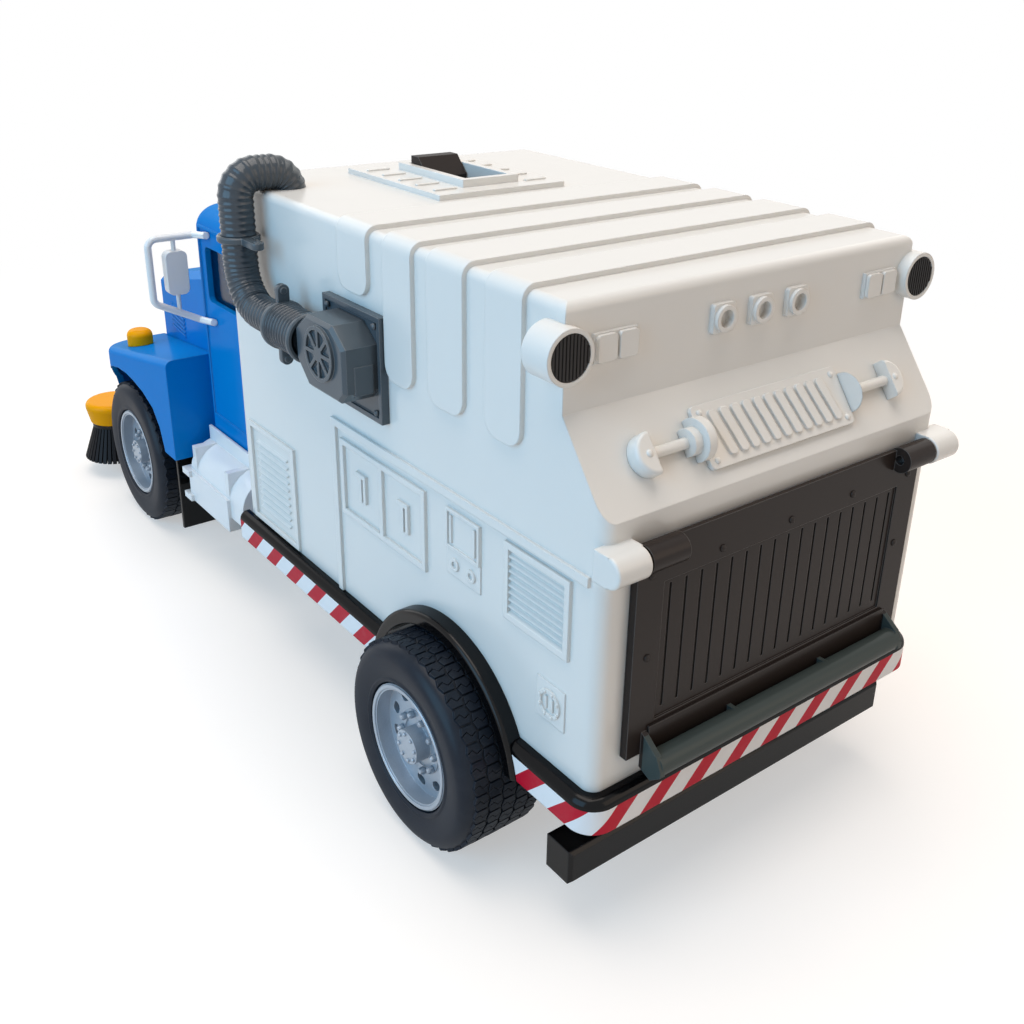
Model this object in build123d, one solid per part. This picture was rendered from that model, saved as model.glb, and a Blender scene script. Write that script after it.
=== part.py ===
from build123d import *
import math
import os

os.makedirs("parts", exist_ok=True)

# A toy street sweeper truck, in millimetres. Stations along the truck are counted
# forward from the hopper's lower rear face, +Y is the truck's left side, +Z is up
# and the wheels stand on z = 0.

# Driving dimensions
wheel_r = 38.0
rear_axle_x = 74.2
hopper_len = 232.6
hopper_half = 75.0
hopper_roof_z = 204.2
hopper_floor_z = 57.4
slope_foot_z = 147.7
slope_top_x = 19.3
slope_top_z = 173.3
cab_gap = 4.0
cab_len = 65.4
cab_inset = 14.0
cab_roof_z = 181.5
hood_len = 98.0
front_axle_ahead = 67.7

# Walls, fits and finish
wall = 2.8
seat_gap = 0.2
overrun = 6.0
axle_r = 2.0
running_gap = 0.06
corner_r = 4.5
roof_edge_r = 3.0

# Where the main groups stand
cab_half = hopper_half - cab_inset
cab_x = (hopper_len + cab_gap, hopper_len + cab_gap + cab_len)
front_axle_x = cab_x[1] + front_axle_ahead
roof_len = hopper_len - slope_top_x

# Wheels: tyre sections, rim and how far each pair stands past the body
rear_wheel_proud = 19.4
rear_tyre_wide = 34.0
front_wheel_proud = 18.2
front_tyre_wide = 24.0
rim_r = 22.7
rim_lip = 1.6
rim_bead = 2.4
tyre_shoulder = 6.0
rim_dish = 7.0
hub_r = 7.0
hub_bore_len = 14.0
rim_web = 3.0
hand_holes = 10
hand_hole_long = 5.0
hand_hole_wide = 3.4
hand_hole_share = 0.71
lug_ring_r = 11.6
lug_ring_in_r = 9.0
lug_ring_proud = 0.6
cap_r = 6.2
cap_proud = 5.6

# Skirt below the hopper: rounded rim above a band
skirt_proud = 4.6
skirt_foot_z = 46.6
skirt_rim_z = 55.4
skirt_top_z = 58.8
skirt_corner_r = 9.0
arch_r = 42.4
arch_lip = 2.4
arch_proud = 6.0
arch_edge_r = 1.6
liner_wall = 2.4
liner_deep = 18.5

# Rear bumper bar and its hangers
bumper_x = 5.3
bumper_deep = 11.7
bumper_low_z = 21.0
bumper_top_z = 33.5
bumper_proud = 2.1
bumper_edge = 1.2
hanger_half = 4.0
hanger_inset = 33.0

# Hopper roof and side bands: rear and front edge as shares of the roof, lower end
band_proud = 1.6
band_end_r = 6.0
band_low_z = 157.5
band_high_z = 182.0
band_shares = [
    (0.077, 0.158, band_low_z),
    (0.210, 0.300, band_low_z),
    (0.341, 0.419, band_low_z),
    (0.467, 0.556, band_high_z),
]

# Roof panel with the posting slot in it
roof_panel_half = 29.0
roof_panel_back = 85.1
roof_panel_len = 66.5
roof_panel_proud = 2.0
slot_frame_back = 76.6
slot_frame_len = 45.5
slot_half = 9.9
slot_frame_proud = 4.8
slot_top_z = hopper_roof_z + slot_frame_proud
slot_wall = 3.0

# Side relief: ridge, hatches, louvres, control panel and ring plate
relief_proud = 1.2
ridge_z = 130.8
ridge_wide = 3.0
ridge_x = 149.5
relief_bar = 2.2
hatch_x = (87.0, 143.5)
hatch_z = (94.5, 124.5)
handle_high = 11.0
handle_wide = 7.0
handle_bar = 1.6
louvre_x = (12.0, 43.0)
louvre_z = (99.5, 126.0)
louvre_slats = 9
front_louvre_back = 49.6
front_louvre_len = 41.0
front_louvre_z = (60.0, 104.9)
front_slats = 10
front_slat_inset = 5.0
slat_share = 0.8
panel_x = (56.0, 74.5)
panel_z = (100.5, 124.6)
panel_split_z = 110.5
panel_proud = 0.5
dial_r = 2.3
dial_z = 105.2
dial_spread = 4.6
bracket_bar = 1.1
plate_x = (13.0, 26.5)
plate_z = (73.5, 87.5)
plate_ring_r = 5.0
ring_bar = 1.3

# Rear face: corner lamps, double lamps and ringed markers
lamp_x = 15.2
lamp_proud = 1.0
lamp_back = 11.0
lamp_z = 191.0
lamp_r = 8.0
lens_r = 6.6
lens_deep = 1.2
lens_thick = 0.9
box_lamp_inset = (25.0, 9.4)
box_lamp_z = (186.4, 194.8)
box_lamp_proud = 2.4
box_lamp_base = 1.2
box_lamp_split = 0.9
box_lamp_rim = 0.3
box_lamp_r = 1.2
marker_pitch = 16.2
marker_half = 4.5
marker_corner_r = 1.0
marker_z = 191.2
marker_proud = 1.6
marker_ring_r = 4.1
marker_well_r = 2.7
marker_ring_proud = 1.2

# Sloping plate with its slats, and the short shafts beside it
slope_plate_inset = 42.5
slope_plate_share = (0.16, 0.77)
slope_plate_proud = 1.4
plate_corner_r = 1.8
plate_slats = 11
plate_slat_wide = 3.3
plate_slat_r = 1.3
plate_slat_proud = 0.9
plate_slat_lean = 1.6
plate_slat_margin = (8.5, 2.6)
shaft_share = 0.47
shaft_r = 1.7
shaft_end_r = 6.4
shaft_end_high = 4.8
shaft_end_edge_r = 1.2
shaft_end_inset = 15.6
cup_len = 6.3
cup_r = (4.2, 6.6)

# Rear door on its pin along the top
door_inset = 10.5
door_top_z = 140.0
door_low_z = 68.6
door_thick = 2.8
door_gap = 0.6
door_panel_inset = 10.5
door_panel_z = (79.0, 126.0)
door_panel_deep = 0.7
door_flutes = 17
flute_wide = 1.0
flute_deep = 0.7
flute_margin = 3.2
door_open_inset = 17.0
door_open_z = (71.6, 133.0)
pivot_x = -4.6
pivot_z = 137.0
pivot_r = 1.5
knuckle_r = 4.4
knuckle_len = 14.0
boss_r = 4.8
boss_edge_r = 0.8
boss_len = 12.4
bar_x = -7.9
bar_z = 67.2
bar_r = 4.1
cheek_top_z = 76.5
cheek_low_z = 61.8
cheek_inset = 5.6
cheek_thick = 2.0
web_inset = 42.5
web_thick = 1.6

# Roof slider
knob_half = 9.4
knob_len = 11.6
knob_slant = 6.5
knob_proud = 7.8
knob_face_rise = 0.8
knob_top_z = hopper_roof_z + knob_proud
knob_foot_z = hopper_roof_z + knob_face_rise
knob_behind = 0.9
slider_travel = 26.0
slider_foot_half = 12.0
slider_foot_thick = 1.6
slider_foot_margin = 2.0

# Blower on the left side
blower_lead = 0.5
blower_len = 38.0
blower_z = (141.0, 178.0)
blower_plate_thick = 3.0
blower_plate_rim = 1.8
blower_plate_sink = 0.8
housing_proud = 15.0
housing_inset = 3.0
housing_z = (149.0, 176.5)
housing_cut = 8.0
housing_edge = 1.2
fan_ahead = 18.0
fan_z = 163.5
fan_r = 9.5
fan_hub_r = 2.6
fan_proud = 1.2
fan_sink = 1.0
fan_blades = 8
fan_blade_wide = 1.2
side_box_proud = (4.0, 11.0)
side_box_len = 6.0
side_box_z = (152.0, 162.0)

# Hose from the blower forward, up the side and over on to the roof
hose_proud = 9.0
hose_r = 6.6
hose_run_z = 162.6
hose_up_ahead = 52.2
hose_bend_r = 16.0
hose_roof_inset = 12.6
hose_top_z = 202.4
hose_over_r = 8.0
coupling_r = 8.4
coupling_len = 20.0
clamp_r = 9.1
clamp_wide = 2.6
clamp_ear = 3.4
clamp_ear_len = 6.6
clamp_up_z = 187.5
clamp_up_ear = 12.0

# Cab
cab_floor_z = 57.3
window_rear = 19.4
window_front = 10.6
window_z = (137.5, 163.0)
window_r = 3.0
screen_inset = 14.0
screen_z = (151.0, 169.0)
cab_top_r = 12.0
cab_corner_r = 4.0
pane_thick = 1.0
door_line_proud = 0.6
door_line_bar = 1.2
cab_door_rear = 9.0
cab_door_front = 5.0
cab_door_z = (80.0, 172.0)
cab_handle_len = 9.0
cab_handle_z = (122.0, 125.0)
hood_back_inset = 5.0
hood_front_inset = 17.0
hood_back_z = 148.5
hood_front_z = 124.5
hood_low_z = 57.3
hood_crown = 4.0
vent_slats = 6
vent_z = (100.0, 114.0)
vent_len = 26.0
vent_back = 54.0

# Front fenders
fender_proud = 18.4
fender_behind = 62.7
fender_ahead = 41.0
fender_top_back_z = 107.0
fender_top_front_z = 87.5
fender_wall = 2.4
fender_low_z = 56.0
fender_plan_r = 24.0
fender_edge_r = 3.5
fender_inner_half = 42.6
arch_view_table = [
    (-50.5, 50.0),
    (-48.8, 58.0),
    (-45.2, 67.9),
    (-38.2, 75.8),
    (-26.1, 80.6),
    (-14.0, 83.0),
    (-4.0, 84.0),
    (8.0, 83.6),
    (19.0, 81.4),
    (28.0, 76.8),
    (33.0, 70.0),
    (35.0, 62.0),
    (35.4, 50.0),
]

# Bumper, grille and lamps at the front
front_bumper_ahead = 46.3
front_bumper_deep = 8.0
front_bumper_z = (34.0, 51.6)
front_bumper_half = 52.0
grille_half = 36.0
grille_z = (66.0, 117.0)
grille_thick = 2.5
grille_bars = 6
grille_bar_deep = 1.0
headlamp_y = 53.0
headlamp_z = 73.0
headlamp_r = 7.0
headlamp_deep = 5.0
turn_lamp_ahead = 8.5
turn_lamp_y = 66.0
turn_lamp_r = 6.4
turn_lamp_high = 8.6

# Mirrors
mirror_behind = 3.4
mirror_reach = 23.0
mirror_top_z = 167.0
mirror_low_z = 138.0
mirror_foot_z = 127.0
mirror_tube_r = 1.6
mirror_bend_r = 4.0
mirror_pad_len = 15.0
mirror_pad_tilt = 9.0
mirror_stem_r = 1.0
mirror_drop = 5.0
mirror_head_gap = 6.6
mirror_head_wide = 9.8
mirror_head_y = (cab_half + mirror_head_gap, cab_half + mirror_head_gap + mirror_head_wide)
mirror_head_z = (141.0, 161.0)
mirror_head_deep = 5.0

# Cab interior
seat_ahead = (9.4, 31.4)
seat_inset = 11.0
seat_z = 96.0
seat_back_deep = 7.0
seat_back_z = 132.0
steer_ahead = 47.4
steer_y = 27.0
steer_z = 118.0
steer_r = 11.0
steer_rod_r = 1.4
steer_tilt = 65.0
dash_ahead = 52.4
dash_z = 122.0

# Tanks below the cab doors and mud flaps behind the front wheels
tank_rear = 6.4
tank_round = 13.8
tank_top_z = 66.2
tank_low_z = 44.0
tank_proud = 12.9
tank_inner_inset = 14.9
bulkhead_thick = 4.0
bulkhead_from_front = 4.0
bulkhead_ahead = 20.4
shoulder_z = 73.0
shoulder_deep = 2.0
tank_panel_proud = 14.4
tank_panel_z = (37.0, 53.0)
tank_step_proud = 16.0
tank_step_thick = 3.0
flap_behind = 57.2
flap_thick = 2.0
flap_half = (57.0, 76.8)
flap_z = (16.0, 62.0)

# Chassis
rail_inset = 29.0
rail_low_z = 30.0
rail_wide = 4.0
axle_tube_r = 6.0
chassis_rear_x = 8.0
chassis_ahead = 44.3
deck_thick = 4.0

# Gutter brushes ahead of the front wheels
brush_ahead = 70.3
brush_proud = 5.0
brush_low_z = 10.0
brush_top_z = 29.0
brush_low_r = 19.0
brush_top_r = 12.4
brush_hub_z = 31.0
brush_hub_r = 8.0
brush_pin_r = 2.0
cover_low_r = 13.2
cover_r = 15.0
cover_z = (31.6, 40.0, 43.6)
cover_edge_r = 2.6
arm_half = 5.0
arm_z = (36.0, 42.0)

brush_x = front_axle_x + brush_ahead
rear_end = min(bar_x - bar_r, pivot_x - boss_r)
front_end = brush_x + brush_low_r
middle_x = (rear_end + front_end) / 2


def block(xs, ys, zs):
    """A box between two stations on each axis."""
    size = (abs(xs[1] - xs[0]), abs(ys[1] - ys[0]), abs(zs[1] - zs[0]))
    centre = ((xs[0] + xs[1]) / 2, (ys[0] + ys[1]) / 2, (zs[0] + zs[1]) / 2)
    return Pos(*centre) * Box(*size)


def side_prism(points, y0, y1):
    """A side view outline in x and z, made solid from y0 to y1."""
    plane = Plane(origin=(0, y1, 0), x_dir=(1, 0, 0), z_dir=(0, -1, 0))
    outline = Polyline(*points, close=True)
    return extrude(plane * make_face(outline), amount=y1 - y0)


def plan_prism(points, z0, z1):
    """A plan view outline in x and y, made solid from z0 to z1."""
    outline = Polyline(*points, close=True)
    return extrude(Pos(0, 0, z0) * make_face(outline), amount=z1 - z0)


def section_prism(points, x0, x1):
    """A cross-section in y and z, made solid from x0 to x1."""
    plane = Plane(origin=(x0, 0, 0), x_dir=(0, 1, 0), z_dir=(1, 0, 0))
    outline = Polyline(*points, close=True)
    return extrude(plane * make_face(outline), amount=x1 - x0)


def disc(x, z, r, y0, y1):
    """A cylinder lying across the truck from y0 to y1."""
    return Pos(x, (y0 + y1) / 2, z) * Rot(90, 0, 0) * Cylinder(r, abs(y1 - y0))


def post(x, y, r, z0, z1):
    """An upright cylinder."""
    return Pos(x, y, (z0 + z1) / 2) * Cylinder(r, z1 - z0)


def along(x0, x1, y, z, r):
    """A cylinder lying along the truck."""
    return Pos((x0 + x1) / 2, y, z) * Rot(0, 90, 0) * Cylinder(r, x1 - x0)


def frame_bar(xs, ys, zs, bar):
    """A rectangular frame seen from the side, its bars as wide as bar."""
    beyond = (ys[0] - overrun, ys[1] + overrun)
    return block(xs, ys, zs) - block((xs[0] + bar, xs[1] - bar), beyond, (zs[0] + bar, zs[1] - bar))


def other_side(solid):
    """The same piece on the truck's right side."""
    return mirror(solid, about=Plane.XZ)


nodes = {}

# Hopper: one white shell, open behind where the rear door closes it
hopper_points = [
    (0, hopper_floor_z),
    (0, slope_foot_z),
    (slope_top_x, slope_top_z),
    (slope_top_x, hopper_roof_z),
    (hopper_len, hopper_roof_z),
    (hopper_len, hopper_floor_z),
]
slope_angle = math.atan2(slope_top_z - slope_foot_z, slope_top_x)
slope_len = math.hypot(slope_top_z - slope_foot_z, slope_top_x)
inner_points = [
    (wall, hopper_floor_z + wall),
    (wall, slope_foot_z - wall / math.cos(slope_angle) + wall * math.tan(slope_angle)),
    (slope_top_x + wall, slope_top_z - wall / math.cos(slope_angle) + wall * math.tan(slope_angle)),
    (slope_top_x + wall, hopper_roof_z - wall),
    (hopper_len - wall, hopper_roof_z - wall),
    (hopper_len - wall, hopper_floor_z + wall),
]
hopper = side_prism(hopper_points, -hopper_half, hopper_half)
upright = hopper.edges().filter_by(Axis.Z)
hopper = fillet(upright.filter_by(lambda e: e.length > hopper_roof_z / 3), corner_r)
roof_edges = hopper.edges().group_by(Axis.Z)[-1]
hopper = fillet(roof_edges, roof_edge_r)
cavity = side_prism(inner_points, -hopper_half + wall, hopper_half - wall)
hopper = hopper - cavity
liner_in_y = hopper_half - liner_deep
house_in = liner_in_y - liner_wall
for y0, y1 in [(house_in, hopper_half - wall / 2), (-hopper_half + wall / 2, -house_in)]:
    house = disc(rear_axle_x, wheel_r, arch_r + liner_wall, y0, y1)
    low = block((rear_axle_x - hopper_len, rear_axle_x + hopper_len), (y0, y1), (-hopper_len, hopper_floor_z))
    hopper = hopper + (house - low)
for y0, y1 in [(liner_in_y, hopper_half + overrun), (-hopper_half - overrun, -liner_in_y)]:
    hopper = hopper - disc(rear_axle_x, wheel_r, arch_r, y0, y1)
door_half = hopper_half - door_inset
door_open_half = hopper_half - door_open_inset
hopper = hopper - block((-overrun, wall + overrun), (-door_open_half, door_open_half), door_open_z)

# Bands over the roof and down both sides, rounded at their lower ends
side_in = hopper_half - wall / 2
band_half = hopper_half + band_proud
for rear_share, front_share, low_z in band_shares:
    band_x = (slope_top_x + rear_share * roof_len, slope_top_x + front_share * roof_len)
    band = block(band_x, (-band_half, band_half), (low_z, hopper_roof_z + band_proud))
    band = fillet(band.edges().filter_by(Axis.X).group_by(Axis.Z)[-1], roof_edge_r + band_proud)
    band = fillet(band.edges().filter_by(Axis.Y).group_by(Axis.Z)[0], band_end_r)
    beyond = (band_x[0] - overrun, band_x[1] + overrun)
    hopper = hopper + (band - block(beyond, (-side_in, side_in), (low_z - overrun, hopper_roof_z - wall / 2)))

# Roof panel and posting slot
roof_in_z = hopper_roof_z - wall / 2
panel_from = hopper_len - roof_panel_back
roof_panel_x = (panel_from, panel_from + roof_panel_len)
slot_from = hopper_len - slot_frame_back
slot_frame_x = (slot_from, slot_from + slot_frame_len)
slot_frame_half = slot_half + slot_wall
roof_panel = block(roof_panel_x, (-roof_panel_half, roof_panel_half), (roof_in_z, hopper_roof_z + roof_panel_proud))
slot_frame = block(slot_frame_x, (-slot_frame_half, slot_frame_half), (roof_in_z, slot_top_z))
hopper = hopper + roof_panel + slot_frame
slot_x = (slot_frame_x[0] + slot_wall, slot_frame_x[1] - slot_wall)
hopper = hopper - block(slot_x, (-slot_half, slot_half), (hopper_roof_z - wall - overrun, slot_top_z + overrun))


def louvre(xs, zs, slats, inset):
    """A framed louvre on the left side: each slat stands out along its lower edge."""
    bars = frame_bar(xs, (side_in, side_out), zs, relief_bar)
    low, high = zs[0] + relief_bar + inset, zs[1] - relief_bar - inset / 2
    pitch = (high - low) / slats
    for i in range(slats):
        foot = low + i * pitch
        slat = [(side_in, foot), (side_out, foot), (side_in, foot + pitch * slat_share)]
        bars += section_prism(slat, xs[0] + relief_bar + inset, xs[1] - relief_bar - inset)
    return bars


# Side relief, the same on both sides
side_out = hopper_half + relief_proud
relief = block((corner_r, ridge_x), (side_in, side_out), (ridge_z - ridge_wide, ridge_z))
relief += block((ridge_x - ridge_wide, ridge_x), (side_in, side_out), (skirt_top_z + seat_gap, ridge_z))
relief -= disc(rear_axle_x, wheel_r, arch_r + arch_lip, side_in - overrun, side_out + overrun)
relief += frame_bar(hatch_x, (side_in, side_out), hatch_z, relief_bar)
hatch_mid = (hatch_x[0] + hatch_x[1]) / 2
relief += block((hatch_mid - relief_bar / 2, hatch_mid + relief_bar / 2), (side_in, side_out), hatch_z)
for centre in ((hatch_x[0] + hatch_mid) / 2, (hatch_x[1] + hatch_mid) / 2):
    mid_z = (hatch_z[0] + hatch_z[1]) / 2
    top_z = mid_z + handle_high / 2
    relief += block(
        (centre - handle_wide / 2, centre + handle_wide / 2), (side_in, side_out), (top_z - handle_bar, top_z)
    )
    for shift in (0, -handle_wide / 2 + handle_bar / 2):
        at = centre + shift
        relief += block(
            (at - handle_bar / 2, at + handle_bar / 2), (side_in, side_out), (top_z - handle_high, top_z)
        )
relief += louvre(louvre_x, louvre_z, louvre_slats, 0)
front_from = hopper_len - front_louvre_back
relief += louvre((front_from, front_from + front_louvre_len), front_louvre_z, front_slats, front_slat_inset)

# Control panel: a shallow plate, a bracket in its upper window and two dials
panel_out = hopper_half + panel_proud
relief += block(panel_x, (side_in, panel_out), panel_z)
relief += frame_bar(panel_x, (side_in, side_out), (panel_split_z, panel_z[1]), bracket_bar)
inner_x = (panel_x[0] + 2 * bracket_bar, panel_x[1] - 2 * bracket_bar)
inner_z = (panel_split_z + 2 * bracket_bar, panel_z[1] - 2 * bracket_bar)
bracket = frame_bar(inner_x, (side_in, side_out), inner_z, bracket_bar)
relief += bracket - block((inner_x[0] + bracket_bar, inner_x[1] - bracket_bar), (0, 2 * hopper_half), inner_z)
panel_mid = (panel_x[0] + panel_x[1]) / 2
for shift in (-dial_spread, dial_spread):
    relief += disc(panel_mid + shift, dial_z, dial_r, side_in, side_out)
    relief -= disc(panel_mid + shift, dial_z, dial_r - bracket_bar, panel_out, side_out + overrun)

# Square plate with a ring on it
plate_mid_x = (plate_x[0] + plate_x[1]) / 2
plate_mid_z = (plate_z[0] + plate_z[1]) / 2
relief += block(plate_x, (side_in, panel_out), plate_z)
relief += disc(plate_mid_x, plate_mid_z, plate_ring_r, side_in, side_out)
relief -= disc(plate_mid_x, plate_mid_z, plate_ring_r - ring_bar, panel_out, side_out + overrun)
hopper = hopper + relief + other_side(relief)

# Rear face relief: two double lamps, three ringed markers, round lamps at the corners
rear_in_x = slope_top_x + wall / 2
for side in (1, -1):
    inner_y, outer_y = side * (hopper_half - box_lamp_inset[0]), side * (hopper_half - box_lamp_inset[1])
    hopper = hopper + block((slope_top_x - box_lamp_base, rear_in_x), (inner_y, outer_y), box_lamp_z)
    mid_y = (inner_y + outer_y) / 2
    lens_z = (box_lamp_z[0] + box_lamp_rim, box_lamp_z[1] - box_lamp_rim)
    for from_y, to_y in ((inner_y, mid_y), (mid_y, outer_y)):
        lens_y = (from_y + side * box_lamp_split / 2, to_y - side * box_lamp_split / 2)
        lens = block((slope_top_x - box_lamp_proud, rear_in_x), lens_y, lens_z)
        hopper = hopper + fillet(lens.edges().filter_by(Axis.X), box_lamp_r)
for place in (-1, 0, 1):
    marker_y = place * marker_pitch
    marker_ys = (marker_y - marker_half, marker_y + marker_half)
    marker_zs = (marker_z - marker_half, marker_z + marker_half)
    marker = block((slope_top_x - marker_proud, rear_in_x), marker_ys, marker_zs)
    hopper = hopper + fillet(marker.edges().filter_by(Axis.X), marker_corner_r)
    ring_x = slope_top_x - marker_proud - marker_ring_proud
    hopper = hopper + along(ring_x, rear_in_x, marker_y, marker_z, marker_ring_r)
    hopper = hopper - along(ring_x - overrun, slope_top_x - seat_gap, marker_y, marker_z, marker_well_r)
for side in (1, -1):
    lamp_y = side * (hopper_half + lamp_proud)
    drum = along(lamp_x, lamp_x + lamp_back, lamp_y, lamp_z, lamp_r)
    drum = drum - along(lamp_x - overrun, lamp_x + lens_deep, lamp_y, lamp_z, lens_r + seat_gap / 2)
    hopper = hopper + (drum - cavity)

# Pivot bosses for the rear door
boss_in = door_half + door_gap
pin_half = boss_in + boss_len
for side in (1, -1):
    ys = (side * boss_in, side * pin_half)
    boss = fillet(disc(pivot_x, pivot_z, boss_r, ys[0], ys[1]).edges(), boss_edge_r)
    boss += block((pivot_x, wall / 2), ys, (pivot_z - boss_r, pivot_z + boss_r))
    hopper = hopper + boss
hopper = hopper - disc(pivot_x, pivot_z, pivot_r, -pin_half + wall, pin_half - wall)
nodes["hopper"] = hopper

# Sloping plate: thin base with leaning round-ended slats
slope_plane = Plane(
    origin=(0, 0, slope_foot_z),
    x_dir=(0, 1, 0),
    z_dir=(-math.sin(slope_angle), 0, math.cos(slope_angle)),
)
up_sign = 1 if slope_plane.y_dir.Z > 0 else -1
slope_plate_half = hopper_half - slope_plate_inset
plate_low = slope_plate_share[0] * slope_len
plate_high = slope_plate_share[1] * slope_len
lift = seat_gap / 2
plate_centre = Pos(0, up_sign * (plate_low + plate_high) / 2, slope_plate_proud / 2 + lift)
slope_plate = plate_centre * Box(2 * slope_plate_half, plate_high - plate_low, slope_plate_proud)
slope_plate = fillet(slope_plate.edges().filter_by(Axis.Z), plate_corner_r)
slat_from, slat_to = plate_low + plate_slat_margin[1], plate_high - plate_slat_margin[1]
slat_span = 2 * (slope_plate_half - plate_slat_margin[0])
for i in range(plate_slats):
    at = -slat_span / 2 + slat_span * i / (plate_slats - 1)
    half = plate_slat_wide / 2
    outline = Polyline(
        (at - half - plate_slat_lean, up_sign * slat_from),
        (at + half - plate_slat_lean, up_sign * slat_from),
        (at + half + plate_slat_lean, up_sign * slat_to),
        (at - half + plate_slat_lean, up_sign * slat_to),
        close=True,
    )
    slat_face = fillet(make_face(outline).vertices(), plate_slat_r)
    slope_plate += Pos(0, 0, lift) * extrude(slat_face, amount=slope_plate_proud + plate_slat_proud)
nodes["slope_plate"] = slope_plane * slope_plate

# Short shafts beside the plate, each into a half-round knob: a stepped cup on the left,
# a cone on the right
shaft_at = up_sign * shaft_share * slope_len
rise = shaft_r + seat_gap
cup_from = slope_plate_half + seat_gap
end_from = hopper_half - shaft_end_inset - shaft_end_r
for name, side in [("spindle_left", 1), ("spindle_right", -1)]:
    shaft_to = end_from + shaft_end_r / 2
    across = Pos(side * (cup_from + shaft_to) / 2, shaft_at, rise) * Rot(0, 90, 0)
    shaft = across * Cylinder(shaft_r, shaft_to - cup_from)
    round_end = Pos(side * end_from, shaft_at, lift) * extrude(Circle(shaft_end_r), amount=shaft_end_high)
    round_end = fillet(round_end.edges().group_by(Axis.Z)[-1], shaft_end_edge_r)
    inner_side = Pos(side * (end_from - shaft_end_r), shaft_at, 0) * Box(*[2 * shaft_end_r] * 3)
    shaft += round_end - inner_side
    if side > 0:
        for r, share in [(cup_r[1], 0.25), (cup_r[0], 0.75)]:
            step = Pos(cup_from + cup_len * share, shaft_at, rise) * Rot(0, 90, 0)
            shaft += step * Cylinder(r, cup_len / 2)
    else:
        cone_at = Pos(-cup_from - cup_len / 2, shaft_at, rise) * Rot(0, 90, 0)
        shaft += cone_at * Cone(shaft_r, cup_r[1], cup_len)
    below = Pos(0, shaft_at, -hopper_half / 2 + lift) * Box(2 * hopper_half, hopper_half, hopper_half)
    nodes[name] = slope_plane * (shaft - below)

# Rear door: fluted panel, end knuckles above and a round rail between cheeks below
door_x = (-door_thick - seat_gap, -seat_gap)
door_panel_half = door_half - door_panel_inset
door = block(door_x, (-door_half, door_half), (door_low_z, door_top_z))
door -= block((door_x[0] - overrun, door_x[0] + door_panel_deep), (-door_panel_half, door_panel_half), door_panel_z)
flute_floor = door_x[0] + door_panel_deep + flute_deep
flute_span = 2 * (door_panel_half - flute_margin)
for i in range(door_flutes):
    at = -flute_span / 2 + flute_span * i / (door_flutes - 1)
    door -= block(
        (door_x[0] - overrun, flute_floor),
        (at - flute_wide / 2, at + flute_wide / 2),
        (door_panel_z[0] + flute_margin, door_panel_z[1] - flute_margin / 2),
    )
swing = disc(pivot_x, pivot_z, -pivot_x - seat_gap, -hopper_half, hopper_half)
above_pivot = block((-overrun, overrun), (-hopper_half, hopper_half), (door_open_z[1], hopper_roof_z))
door -= above_pivot - swing
for side in (1, -1):
    door += disc(pivot_x, pivot_z, knuckle_r, side * (door_half - knuckle_len), side * door_half)
cheek_view = [
    (door_x[0] + seat_gap, cheek_top_z),
    (bar_x - bar_r / 2, bar_z + bar_r),
    (bar_x - bar_r, bar_z),
    (bar_x - bar_r, bar_z - bar_r / 2),
    (bar_x, cheek_low_z),
    (door_x[0] + seat_gap, cheek_low_z + cheek_thick),
]
cheek_half = door_half - cheek_inset
for side in (1, -1):
    door += side_prism(cheek_view, *sorted((side * (cheek_half - cheek_thick), side * cheek_half)))
    web_y = side * (door_half - web_inset)
    web_ys = (web_y - web_thick / 2, web_y + web_thick / 2)
    door += block((bar_x, door_x[0] + seat_gap), web_ys, (door_low_z, bar_z + bar_r))
door += disc(bar_x, bar_z, bar_r, -cheek_half + cheek_thick / 2, cheek_half - cheek_thick / 2)
door -= disc(pivot_x, pivot_z, pivot_r + running_gap, -hopper_half, hopper_half)
nodes["rear_door"] = door
pin_end = pin_half - wall - seat_gap
pin_from = door_half - knuckle_len + wall
stub = disc(pivot_x, pivot_z, pivot_r - seat_gap / 4, pin_from, pin_end)
nodes["door_pin"] = Compound(children=[stub, other_side(stub)])

# Corner lamp lenses, set into their drums
for name, side in [("rear_lens_left", 1), ("rear_lens_right", -1)]:
    lens_back = lamp_x + lens_deep - seat_gap / 2
    nodes[name] = along(lens_back - lens_thick, lens_back, side * (hopper_half + lamp_proud), lamp_z, lens_r)

# Roof slider: the knob above the slot and its foot below the roof
knob_front_x = slot_x[1] - knob_behind
knob_rear_x = knob_front_x - knob_len
under_roof_z = hopper_roof_z - wall - seat_gap
slider = side_prism(
    [
        (knob_rear_x, under_roof_z - slider_foot_thick),
        (knob_rear_x, knob_foot_z),
        (knob_rear_x + knob_slant, knob_top_z),
        (knob_front_x, knob_top_z),
        (knob_front_x, under_roof_z - slider_foot_thick),
    ],
    -knob_half,
    knob_half,
)
foot_x = (knob_rear_x - slider_foot_margin, knob_front_x + slider_foot_margin)
foot_z = (under_roof_z - slider_foot_thick, under_roof_z)
nodes["roof_slider"] = slider + block(foot_x, (-slider_foot_half, slider_foot_half), foot_z)

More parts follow.
